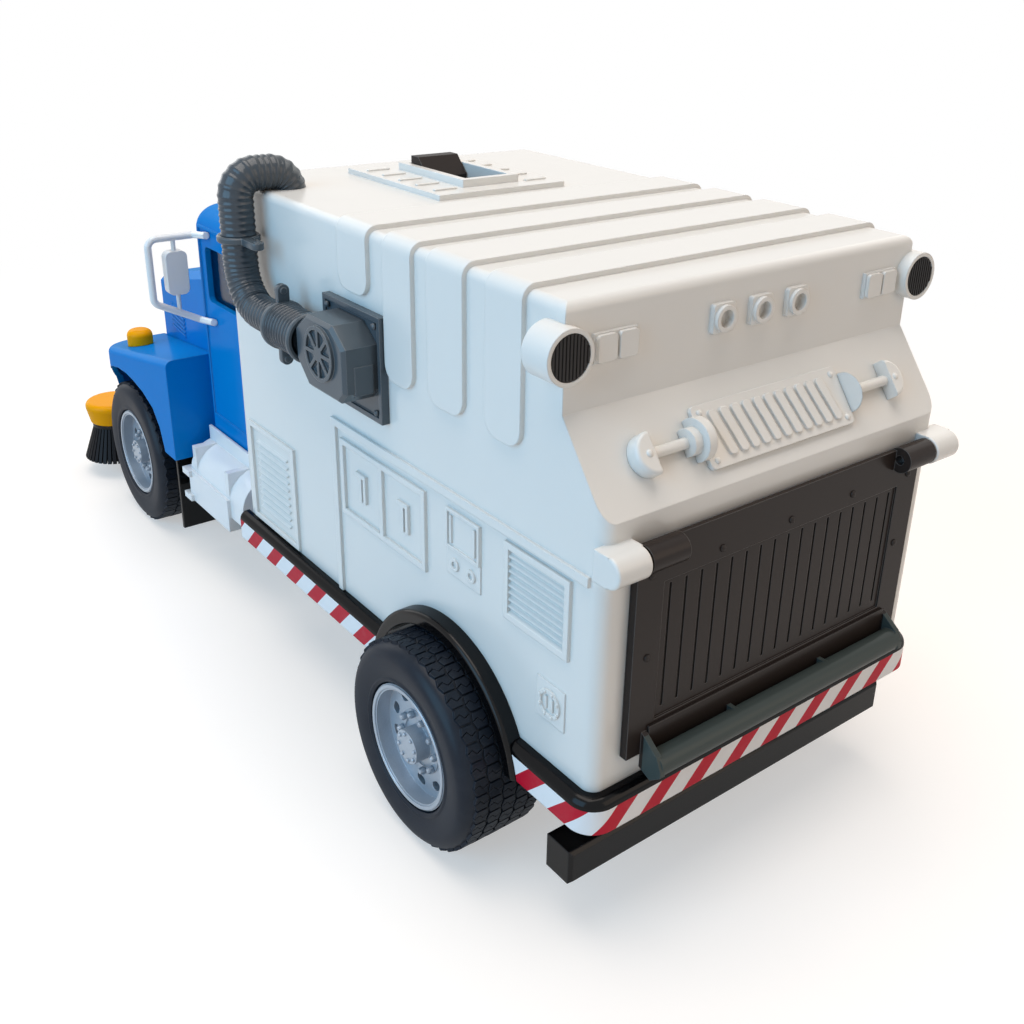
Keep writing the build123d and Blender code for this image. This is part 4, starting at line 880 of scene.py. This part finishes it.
def spots_tree():
    """Sets a domed head, turned, on each vertex of the mesh that it is given."""
    sockets = [
        ("Head radius", "Float"),
        ("Head height", "Float"),
        ("Turn", "Vector"),
        ("Material", "Material"),
    ]
    tree, given = new_tree("heads_on_spots", sockets)
    ball = add(tree, "GeometryNodeMeshUVSphere", {"Segments": 16, "Rings": 10})
    wide, high = given.outputs["Head radius"], given.outputs["Head height"]
    tall = add(tree, "ShaderNodeCombineXYZ", links={0: wide, 1: wide, 2: high})
    shaped = add(tree, "GeometryNodeTransform", links={"Geometry": ball, "Scale": tall})
    stand = add(tree, "FunctionNodeEulerToRotation", links={0: given.outputs["Turn"]})
    links = {"Points": given.outputs["Geometry"], "Instance": shaped, "Rotation": stand}
    copies = add(tree, "GeometryNodeInstanceOnPoints", links=links)
    close_tree(tree, copies, given)
    return tree


heads_on_spots = spots_tree()


def screws(points, turn, material, r=screw_r, high=screw_high):
    """Domed heads on points of the frame, with their tops along the turned Z."""
    spots = bpy.data.meshes.new("spots")
    spots.from_pydata(points, [], [])
    values = {"Head radius": r * mm, "Head height": high * mm, "Turn": turn, "Material": material}
    return grown(spots, heads_on_spots, values)


def paint_light_on_bar(material, code, x, z):
    """Paints the bar moulded on to the door a lighter colour, as painted light on the same plastic: all that
    is behind x and below z.
    """
    tree = material.node_tree
    body = next(node for node in tree.nodes if node.type == "BSDF_PRINCIPLED")
    was = body.inputs["Base Color"].links[0].from_socket
    place = add(tree, "ShaderNodeTexCoord").outputs["Object"]
    split = add(tree, "ShaderNodeSeparateXYZ", links={0: place})
    behind = add(
        tree,
        "ShaderNodeMath",
        {"operation": "LESS_THAN", 1: (x - middle_x) * mm},
        {0: split.outputs["X"]},
    )
    below = add(tree, "ShaderNodeMath", {"operation": "LESS_THAN", 1: z * mm}, {0: split.outputs["Z"]})
    bar = add(tree, "ShaderNodeMath", {"operation": "MINIMUM"}, {0: behind, 1: below})
    mixed = add(tree, "ShaderNodeMix", {"data_type": "RGBA", 7: linear(code)}, {0: bar, 6: was})
    tree.links.new(mixed.outputs[2], body.inputs["Base Color"])


grey_code = "505960"
door_code = "302926"
# Painted light: the bar's lighter, greener colour.
bar_lit_code = "434B49"
bar_face_x = -4.2
bar_top_z = 100.0
grey_abs = moulded(
    "grey_abs_satin",
    grey_code,
    shine=0.20,
    peel_mm=1.4,
    edge_mm=0.5,
    wear_and_highlight=0.14,
    cloudy=0.06,
    crease_shade=0.3,
    gloss=0.75,
)
door_abs = moulded(
    "door_grey_abs_satin",
    door_code,
    shine=0.24,
    peel_mm=1.4,
    edge_mm=0.5,
    wear_and_highlight=0.12,
    cloudy=0.06,
    crease_shade=0.3,
    gloss=0.38,
)
paint_light_on_bar(door_abs, bar_lit_code, bar_face_x, bar_top_z)
finish_nodes(("rear_door", "roof_slider"), door_abs)
finish_nodes(("blower_plate", "blower_housing"), grey_abs)
heads = screws([station(door_face_x, y, z) for y, z in door_screws], (0, -quarter, 0), door_abs)
show("door_screws", heads, "door", door_abs)
foot_plate = rounded_block("foot_plate", *foot_plate_size)
foot_plate.transform(Matrix.Translation(station(door_face_x - foot_plate_behind, 0, foot_plate_z)))
show("door_foot_plate", foot_plate, "door", door_abs)
boss_ends = []
for side in (1, -1):
    end = screws(
        [station(pivot_x, side * boss_half, pivot_z)],
        (0, 0, 0),
        white_abs,
        boss_end_r,
        boss_end_high,
    )
    middle = Matrix.Translation(station(pivot_x, 0, pivot_z))
    end.transform(middle @ Matrix.Diagonal(boss_end_shape) @ middle.inverted())
    boss_ends.append(end)
show("boss_screws", joined("boss_screws", boss_ends), "truck", white_abs)

# Skirt: black ABS rim over a band with a red and white sticker that wraps the
# corners. Its parallelograms lean back towards the rear and the right.
red_code = "C2142F"
sticker_white_code = "EFEFF0"
sticker_worn_code = "B9A9A4"
speck_mm = 5
skirt_edge_mm = 0.6
red_share = 0.46
rear_stripes = (18.15, 27.4)
side_stripes = (18.6, 201.0)
stripe_count_z = 51.5
band_top_z = 55.3
skirt_corner_r = 9.0
skirt_half = 79.7
skirt_rear_x = -4.7
stripe_lean = 0.98


def striped(name, pitch, start):
    """The skirt's plastic: glossy black rim, and below it stripes counted along the path round the corner."""
    made, tree = new_material(name)
    place = add(tree, "ShaderNodeTexCoord").outputs["Object"]
    split = add(tree, "ShaderNodeSeparateXYZ", links={0: place})
    x = add(
        tree,
        "ShaderNodeMath",
        {"operation": "MULTIPLY_ADD", 1: 1 / mm, 2: middle_x},
        {0: split.outputs["X"]},
    )
    side = add(tree, "ShaderNodeMath", {"operation": "SIGN"}, {0: split.outputs["Y"]})
    y = add(tree, "ShaderNodeMath", {"operation": "ABSOLUTE"}, {0: split.outputs["Y"]})
    y = add(tree, "ShaderNodeMath", {"operation": "MULTIPLY", 1: 1 / mm}, {0: y})
    z = add(tree, "ShaderNodeMath", {"operation": "MULTIPLY", 1: 1 / mm}, {0: split.outputs["Z"]})
    turn_x = skirt_rear_x + skirt_corner_r
    turn_y = skirt_half - skirt_corner_r
    behind = add(tree, "ShaderNodeMath", {"operation": "SUBTRACT", 0: turn_x}, {1: x})
    behind = add(tree, "ShaderNodeMath", {"operation": "MAXIMUM", 1: 0.0}, {0: behind})
    beyond = add(tree, "ShaderNodeMath", {"operation": "SUBTRACT", 1: turn_y}, {0: y})
    beyond = add(tree, "ShaderNodeMath", {"operation": "MAXIMUM", 1: 0.0001}, {0: beyond})
    angle = add(tree, "ShaderNodeMath", {"operation": "ARCTAN2"}, {0: beyond, 1: behind})
    arc = add(tree, "ShaderNodeMath", {"operation": "MULTIPLY", 1: skirt_corner_r}, {0: angle})
    flat = add(tree, "ShaderNodeMath", {"operation": "MINIMUM", 1: turn_y}, {0: y})
    ahead = add(tree, "ShaderNodeMath", {"operation": "SUBTRACT", 1: turn_x}, {0: x})
    ahead = add(tree, "ShaderNodeMath", {"operation": "MAXIMUM", 1: 0.0}, {0: ahead})
    path = add(tree, "ShaderNodeMath", {"operation": "ADD"}, {0: flat, 1: arc})
    path = add(tree, "ShaderNodeMath", {"operation": "ADD"}, {0: path, 1: ahead})
    path = add(tree, "ShaderNodeMath", {"operation": "MULTIPLY"}, {0: path, 1: side})
    lean = add(tree, "ShaderNodeMath", {"operation": "MULTIPLY_ADD", 1: stripe_lean}, {0: z, 2: path})
    lean = add(
        tree,
        "ShaderNodeMath",
        {"operation": "SUBTRACT", 1: start + stripe_lean * stripe_count_z},
        {0: lean},
    )
    turns = add(tree, "ShaderNodeMath", {"operation": "DIVIDE", 1: pitch}, {0: lean})
    phase = add(tree, "ShaderNodeMath", {"operation": "FLOORED_MODULO", 1: 1.0}, {0: turns})
    red = add(tree, "ShaderNodeMath", {"operation": "LESS_THAN", 1: red_share}, {0: phase})
    rim = add(tree, "ShaderNodeMath", {"operation": "GREATER_THAN", 1: band_top_z}, {0: z})
    speck = add(tree, "ShaderNodeTexNoise", {"Scale": 1 / (speck_mm * mm), "Detail": 5.0}, {"Vector": place})
    tint = add(
        tree,
        "ShaderNodeMix",
        {"data_type": "RGBA", 6: linear(sticker_white_code), 7: linear(red_code)},
        {0: red},
    )
    # Worn specks on the sticker: a paler greyish colour in patches, real wear only.
    wear_and_highlight = add(
        tree,
        "ShaderNodeMapRange",
        {"From Min": 0.55, "From Max": 0.9, "To Max": 0.08},
        {"Value": speck.outputs["Fac"]},
    )
    tint = add(
        tree,
        "ShaderNodeMix",
        {"data_type": "RGBA", 7: linear(sticker_worn_code)},
        {0: wear_and_highlight, 6: tint.outputs[2]},
    )
    tint = add(
        tree,
        "ShaderNodeMix",
        {"data_type": "RGBA", 7: linear(black_code)},
        {0: rim, 6: tint.outputs[2]},
    )
    rough = add(tree, "ShaderNodeMapRange", {"To Min": 0.32, "To Max": 0.14}, {"Value": rim})
    soft_edge = add(tree, "ShaderNodeBevel", {"samples": 8, "Radius": skirt_edge_mm * mm})
    fine = add(
        tree,
        "ShaderNodeTexNoise",
        {"Scale": 1 / (black_peel_mm * mm), "Detail": 0.0},
        {"Vector": place},
    )
    bump = add(
        tree,
        "ShaderNodeBump",
        {"Strength": 0.05, "Distance": peel_deep_mm * mm},
        {"Height": fine.outputs["Fac"], "Normal": soft_edge},
    )
    body = add(
        tree,
        "ShaderNodeBsdfPrincipled",
        {"Specular IOR Level": 0.0, "Coat Weight": 0.35},
        {"Base Color": tint.outputs[2], "Coat Roughness": rough, "Normal": bump, "Coat Normal": bump},
    )
    add(tree, "ShaderNodeOutputMaterial", links={"Surface": body})
    return made


finish_nodes(["skirt_rear"], striped("skirt_sticker_rear", *rear_stripes))
finish_nodes(["skirt_left", "skirt_right"], striped("skirt_sticker_sides", *side_stripes))

# Corner lamps at the rear: smoky ABS discs pressed into the white drums, with fine
# upright ribs moulded across them.
smoke_code = "2B2725"
lens_ribs = 11
lens_rib_thick = 0.9
lens_rib_wide = 0.62
lens_rib_edge = 0.15
lens_rib_short = 0.6
lens_rib_proud = 0.3
smoke_abs = moulded(
    "smoke_abs_moulded",
    smoke_code,
    shine=0.25,
    peel_mm=1.2,
    edge_mm=0.2,
    wear_and_highlight=0.02,
    cloudy=0.08,
)
finish_nodes(("rear_lens_left", "rear_lens_right"), smoke_abs)
for name in ("left", "right"):
    low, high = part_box("rear_lens_" + name)
    lens_r = (high.y - low.y) / 2 / mm
    strips = []
    for i in range(lens_ribs):
        y = -lens_r + (i + 0.5) * 2 * lens_r / lens_ribs
        tall = 2 * math.sqrt(lens_r**2 - y**2) - lens_rib_short
        strip = rounded_block("strip", lens_rib_thick, lens_rib_wide, tall, lens_rib_edge)
        middle = Vector((low.x, (low.y + high.y) / 2, (low.z + high.z) / 2))
        shift = Vector((lens_rib_thick / 2 - lens_rib_proud, y, -tall / 2)) * mm
        strip.transform(Matrix.Translation(middle + shift))
        strips.append(strip)
    show("lens_ribs_" + name, joined("lens_ribs", strips), "truck", smoke_abs)

# Screws on the slope plate and on the half-round knobs beside it: small domed heads
# moulded with the white ABS that they stand on.
slope_foot = Vector((0.0, 147.7))
slope_along = Vector((19.3, 25.6)).normalized()
slope_out = Vector((-slope_along.y, slope_along.x))
slope_turn = math.atan2(slope_out.x, slope_out.y)
plate_rise = 1.5
plate_screw_y = 29.6
plate_screw_along = (7.6, 22.2)
plate_screw = (1.1, 0.8)
knob_screw_y = 55.2
knob_screw_along = 15.1
knob_screw_rise = 4.75
knob_screw = (1.2, 0.8)


def on_slope(y, along, rise):
    """A point of the sloping rear face: across the truck, up the slope and out of it."""
    spot = slope_foot + slope_along * along + slope_out * rise
    return station(spot.x, y, spot.y)


plate_corners = [on_slope(s * plate_screw_y, a, plate_rise) for s in (1, -1) for a in plate_screw_along]
heads = screws(plate_corners, (0, slope_turn, 0), white_abs, *plate_screw)
show("slope_screws", heads, "truck", white_abs)
knobs = [on_slope(s * knob_screw_y, knob_screw_along, knob_screw_rise) for s in (1, -1)]
end_caps = screws(knobs, (0, slope_turn, 0), white_abs, *knob_screw)
show("shaft_end_screws", end_caps, "truck", white_abs)

# Blower screws: four domed heads at the corners of the blower's back plate, which
# they seem to hold to the hopper's side, moulded with the plate in dark grey ABS.
blower_screw_x = (112.6, 143.9)
blower_screw_z = (144.4, 174.6)
blower_screw_y = 78.05
blower_screw = (1.2, 0.9)
blower_corners = [station(x, blower_screw_y, z) for x in blower_screw_x for z in blower_screw_z]
heads = screws(blower_corners, (-quarter, 0, 0), grey_abs, *blower_screw)
show("blower_screws", heads, "truck", grey_abs)

# Hose: dark grey blow-moulded polythene, ribbed in fine rings, with a ribbed sleeve at
# the blower and eared clamps of grey ABS that hold it to the hopper. Its run is level
# out of the blower, up the side, flat over the edge and down on the roof.
hose_code = "3F4850"
hose_r = 6.6
hose_y = 84.0
hose_roof_y = 62.4
hose_run_z = 162.6
hose_top_z = 202.4
hose_bend_r = 16.0
hose_over_r = 8.0
hose_up_x = 199.37
hose_from_x = 145.4
collar_x = 167.17
bend_steps = 14
ring_pitch = 2.3
ring_proud = 0.32
sleeve_r = 8.0
sleeve_rings = 8
sleeve_ring_first = 3.6
sleeve_ring_step = 2.1
sleeve_ring_wide = 1.3
sleeve_ring_r = 8.4
sleeve_ring_lip = 0.4
collar_wall = 2.0
clamp_r = 9.1
clamp_lip = 0.6
blower_clamp_wide = 2.2
bend_clamp_wide = 2.6
upright_clamp_profile = [(6.0, 186.2), (7.5, 186.2), (8.0, 186.7), (8.0, 188.3), (7.5, 188.8), (6.0, 188.8)]
ear_size = (6.4, 4.6, 2.6, 1.2)
ear_edge = 0.35
ear_boss_proud = (0.3, 0.5)
ear_out = 8.6
side_ear_size = (11.6, 4.6, 2.6, 1.2)
side_ear_z = 187.5


def hose_tree():
    """Sweeps a round section along a curve and swells it in even rings."""
    sockets = [
        ("Radius", "Float"),
        ("Ring pitch", "Float"),
        ("Ring share", "Float"),
        ("Material", "Material"),
    ]
    tree, given = new_tree("ringed_hose", sockets)
    fine = add(tree, "ShaderNodeMath", {"operation": "DIVIDE", 1: 10.0}, {0: given.outputs["Ring pitch"]})
    points = add(
        tree,
        "GeometryNodeResampleCurve",
        {"mode": "LENGTH"},
        {"Curve": given.outputs["Geometry"], "Length": fine},
    )
    along = add(tree, "GeometryNodeSplineParameter")
    turns = add(
        tree,
        "ShaderNodeMath",
        {"operation": "DIVIDE"},
        {0: along.outputs["Length"], 1: given.outputs["Ring pitch"]},
    )
    angle = add(tree, "ShaderNodeMath", {"operation": "MULTIPLY", 1: 2 * math.pi}, {0: turns})
    wave = add(tree, "ShaderNodeMath", {"operation": "COSINE"}, {0: angle})
    wave = add(tree, "ShaderNodeMath", {"operation": "MULTIPLY_ADD", 1: 0.5, 2: 0.5}, {0: wave})
    wave = add(tree, "ShaderNodeMath", {"operation": "POWER", 1: 1.8}, {0: wave})
    wave = add(tree, "ShaderNodeMath", {"operation": "SUBTRACT", 1: 1.0}, {0: wave})
    swell = add(
        tree,
        "ShaderNodeMath",
        {"operation": "MULTIPLY_ADD", 2: 1.0},
        {0: wave, 1: given.outputs["Ring share"]},
    )
    sized = add(tree, "ShaderNodeMath", {"operation": "MULTIPLY"}, {0: swell, 1: given.outputs["Radius"]})
    swollen = add(tree, "GeometryNodeSetCurveRadius", links={"Curve": points, "Radius": sized})
    section = add(tree, "GeometryNodeCurvePrimitiveCircle", {"Resolution": 32, "Radius": 1.0})
    swept = add(
        tree,
        "GeometryNodeCurveToMesh",
        {"Fill Caps": True},
        {"Curve": swollen, "Profile Curve": section.outputs["Curve"]},
    )
    for socket in swept.inputs:
        if socket.name == "Scale":
            tree.links.new(sized.outputs[0], socket)
    close_tree(tree, swept, given)
    return tree


ringed_hose = hose_tree()
hose_plastic = moulded(
    "grey_polythene_blow_moulded",
    hose_code,
    shine=0.17,
    peel_mm=1.4,
    edge_mm=0.1,
    wear_and_highlight=0.0,
    cloudy=0.08,
    gloss=0.8,
)
route = [(hose_from_x, hose_y, hose_run_z)]
for i in range(bend_steps + 1):
    a = quarter * i / bend_steps
    bend_x = hose_up_x - hose_bend_r + hose_bend_r * math.sin(a)
    route.append((bend_x, hose_y, hose_run_z + hose_bend_r * (1 - math.cos(a))))
for middle_y, from_turn in ((hose_y - hose_over_r, 0), (hose_roof_y + hose_over_r, 1)):
    for i in range(bend_steps + 1):
        a = quarter * (from_turn + i / bend_steps)
        route.append(
            (hose_up_x, middle_y + hose_over_r * math.cos(a), hose_top_z + hose_over_r * math.sin(a)),
        )
line = bpy.data.curves.new("hose_line", "CURVE")
line.dimensions = "3D"
run = line.splines.new("POLY")
run.points.add(len(route) - 1)
for point, spot in zip(run.points, route):
    point.co = (*station(*spot), 1.0)
values = {"Radius": hose_r * mm, "Ring pitch": ring_pitch * mm, "Ring share": ring_proud / hose_r}
values["Material"] = hose_plastic
hose_parts = [grown(line, ringed_hose, values)]


def collar(x0, x1, r, lip=0.5):
    """A turned collar round the hose's level run."""
    profile = [(r - lip, x0), (r, x0 + lip), (r, x1 - lip), (r - lip, x1)]
    made = turned("collar", [(r - collar_wall, x0)] + profile + [(r - collar_wall, x1)], 48)
    turn_forward = Matrix.Rotation(quarter, 4, "Y")
    made.transform(Matrix.Translation(station(0, hose_y, hose_run_z)) @ turn_forward)
    return made


hose_parts.append(collar(hose_from_x, collar_x, sleeve_r))
for i in range(sleeve_rings):
    x = hose_from_x + sleeve_ring_first + i * sleeve_ring_step
    hose_parts.append(collar(x, x + sleeve_ring_wide, sleeve_ring_r, sleeve_ring_lip))
clamps = [
    collar(hose_from_x, hose_from_x + blower_clamp_wide, clamp_r, clamp_lip),
    collar(collar_x - bend_clamp_wide, collar_x, clamp_r, clamp_lip),
]
upright_clamp = turned("upright_clamp", upright_clamp_profile, 48)
upright_clamp.transform(Matrix.Translation(station(hose_up_x, hose_y, 0)))
clamps.append(upright_clamp)


def ear(length, width, thick, hole_r):
    """A round-ended ear with a raised boss round its screw, lying along X from the origin."""

    def build(work):
        rim = [(0.0, -width / 2), (length - width / 2, -width / 2)]
        for i in range(13):
            a = -quarter + math.pi * i / 12
            rim.append((length - width / 2 + width / 2 * math.cos(a), width / 2 * math.sin(a)))
        rim += [(length - width / 2, width / 2), (0.0, width / 2)]
        rim = list(dict.fromkeys((round(x, 5), round(y, 5)) for x, y in rim))
        low = [work.verts.new((x * mm, y * mm, -thick / 2 * mm)) for x, y in rim]
        high = [work.verts.new((x * mm, y * mm, thick / 2 * mm)) for x, y in rim]
        work.faces.new(low)
        work.faces.new(high)
        for i in range(len(rim)):
            j = (i + 1) % len(rim)
            work.faces.new((low[i], low[j], high[j], high[i]))
        bmesh.ops.recalc_face_normals(work, faces=work.faces)
        sharp = [e for e in work.edges if e.calc_face_angle(0) > 0.6]
        bmesh.ops.bevel(work, geom=sharp, offset=ear_edge * mm, segments=2, profile=0.6, affect="EDGES")

    flat_ear = new_mesh("ear", build)
    boss_low = thick / 2 + ear_boss_proud[0]
    boss_top = thick / 2 + ear_boss_proud[1]
    boss = turned(
        "boss",
        [(hole_r, -boss_low), (hole_r, boss_low), (hole_r * 0.6, boss_top), (0, boss_top)],
        20,
    )
    boss.transform(Matrix.Translation(((length - width / 2) * mm, 0, 0)))
    return joined("ear", [flat_ear, boss])


for up in (1, -1):
    lug_ear = ear(*ear_size)
    place = Matrix.Translation(station(collar_x - bend_clamp_wide / 2, hose_y, hose_run_z + up * ear_out))
    flat = Matrix(((0, 0, 1, 0), (0, 1, 0, 0), (up, 0, 0, 0), (0, 0, 0, 1)))
    lug_ear.transform(place @ flat)
    if up > 0:
        lug_ear.flip_normals()
    clamps.append(lug_ear)
side_ear = ear(*side_ear_size)
side_ear.transform(
    Matrix.Translation(station(hose_up_x - hose_r, hose_y, side_ear_z)) @ Matrix.Rotation(math.pi, 4, "Z"),
)
clamps.append(side_ear)
show("hose_rings", joined("hose", hose_parts), "truck", hose_plastic, ["hose"], sharp=50)
show("hose_clamps", joined("clamps", clamps), "truck", grey_abs)

# Cab shell, hood and fenders: bright blue ABS with a polished skin, three mouldings
# that lap behind the fenders.
blue_code = "0481CF"
blue_nodes = ("cab_shell", "hood", "fender_left", "fender_right")
# Painted shade in the creases.
blue_abs = moulded(
    "blue_abs_polished",
    blue_code,
    shine=0.16,
    peel_mm=1.8,
    edge_mm=0.6,
    wear_and_highlight=0.06,
    cloudy=0.03,
    peel=0.03,
    crease_shade=0.3,
    gloss=0.14,
)
finish_nodes(blue_nodes, blue_abs)

# Windows: flat panes of clear polystyrene, injection moulded and clipped inside the
# cab. They show the dark inside through a faint smear.
pane_code = "E4EBEE"
smear_mm = 12
pane_nodes = ("window_left", "window_right", "windscreen")


def pane(name):
    """Thin clear styrene with a faint smoky tint."""
    made, tree = new_material(name)
    place = add(tree, "ShaderNodeTexCoord").outputs["Object"]
    smear = add(tree, "ShaderNodeTexNoise", {"Scale": 1 / (smear_mm * mm), "Detail": 4.0}, {"Vector": place})
    rough = add(tree, "ShaderNodeMapRange", {"To Min": 0.02, "To Max": 0.10}, {"Value": smear.outputs["Fac"]})
    body = add(
        tree,
        "ShaderNodeBsdfPrincipled",
        {"Base Color": linear(pane_code), "IOR": 1.2, "Transmission Weight": 1.0},
        {"Roughness": rough},
    )
    add(tree, "ShaderNodeOutputMaterial", links={"Surface": body})
    return made


clear_styrene = pane("clear_styrene")
finish_nodes(pane_nodes, clear_styrene)

# Cab interior: bench, dashboard and steering wheel, moulded in dark grey ABS from a
# grained tool, which leaves them dull, and pegged to the cab's floor and front.
inside_code = "2A2C30"
inside_nodes = ("seat_bench", "dashboard", "steering_wheel")
inside_abs = moulded(
    "dark_abs_grained",
    inside_code,
    shine=0.5,
    peel_mm=1.4,
    edge_mm=0.6,
    wear_and_highlight=0.05,
    cloudy=0.1,
    peel=0.35,
    gloss=0.3,
)
finish_nodes(inside_nodes, inside_abs)

# Grille and headlamps: silver-pigmented grille, and clear lenses over a silver
# reflector on the fenders' front faces.
lamp_code = "D5DADD"
silvered_styrene = flaked("lamp_silvered_styrene", lamp_code, 0.12)
finish_nodes(["grille"], silver_abs)
finish_nodes(("headlamp_left", "headlamp_right"), silvered_styrene)

# Amber turn lamps on the fenders and the covers over the corner brushes: amber ABS,
# injection moulded in a polished tool and pressed on to their pegs.
amber_code = "FFAA00"
amber_nodes = ("turn_lamp_left", "turn_lamp_right", "brush_cover_left", "brush_cover_right")
amber_abs = moulded(
    "amber_abs_polished",
    amber_code,
    shine=0.18,
    peel_mm=1.6,
    edge_mm=0.6,
    wear_and_highlight=0.05,
    cloudy=0.05,
    gloss=0.2,
)
finish_nodes(amber_nodes, amber_abs)

# Mirrors and side tanks: white ABS trim, each one moulding, pegged to the cab's side
# and to the chassis. A polished skin, a touch bluer than the hopper's.
trim_code = "E9EBEC"
trim_nodes = ("mirror_left", "mirror_right", "tank_left", "tank_right")
# Painted shade in the creases, and rounded edges painted paler: a painted highlight with a little wear.
trim_abs = moulded(
    "white_abs_trim",
    trim_code,
    shine=0.22,
    peel_mm=2.0,
    edge_mm=0.6,
    wear_and_highlight=0.4,
    cloudy=0.01,
    peel=0.03,
    crease_shade=0.3,
    gloss=0.9,
)
finish_nodes(trim_nodes, trim_abs)

# Corner brushes: black polypropylene strands moulded in a flared ring round a hub,
# which turns on a pin below the amber cover.
strand_count = 40
strand_table = [(12.0, 18.6, 0.0), (9.6, 15.0, 0.5)]
strand_low_z = 10.0
strand_top_z = 29.0
strand_low_size = (2.05, 1.5)
strand_top_size = (1.35, 1.2)
strand_inset = 0.7
brush_y = 66.0
brush_x = 440.0
bristle_code = "131317"
bristle_plastic = moulded(
    "black_polypropylene_strands",
    bristle_code,
    shine=0.42,
    peel_mm=0.9,
    edge_mm=0.2,
    wear_and_highlight=0.05,
    cloudy=0.1,
    gloss=0.3,
)
finish_nodes(("brush_hub_left", "brush_hub_right"), black_abs)


def strand(top_r, low_r):
    """One tapered strand that stands on the ring's top and flares outwards, with its length along Y."""

    def build(work):
        made = bmesh.ops.create_cube(work, size=1.0)["verts"]
        for v in made:
            low = v.co.y > 0
            wide, deep = strand_low_size if low else strand_top_size
            out = (low_r - top_r) if low else 0.0
            down = (strand_top_z - strand_low_z) if low else 0.0
            v.co = Vector((v.co.x * wide, down, out + v.co.z * deep)) * mm

    return new_mesh("strand", build)


for name, side in (("left", 1), ("right", -1)):
    rings = []
    for top_r, low_r, start in strand_table:
        values = {"Count": strand_count, "Radius": (top_r - strand_inset) * mm, "Start": start}
        values["Material"] = bristle_plastic
        ring = grown(strand(top_r, low_r), ring_of_copies, values)
        place = Matrix.Translation(station(brush_x, side * brush_y, strand_top_z))
        ring.transform(place @ Matrix.Rotation(-quarter, 4, "X"))
        rings.append(ring)
    strands = joined("strands", rings)
    show("strands_" + name, strands, "brush_" + name, bristle_plastic, ["bristles_" + name])
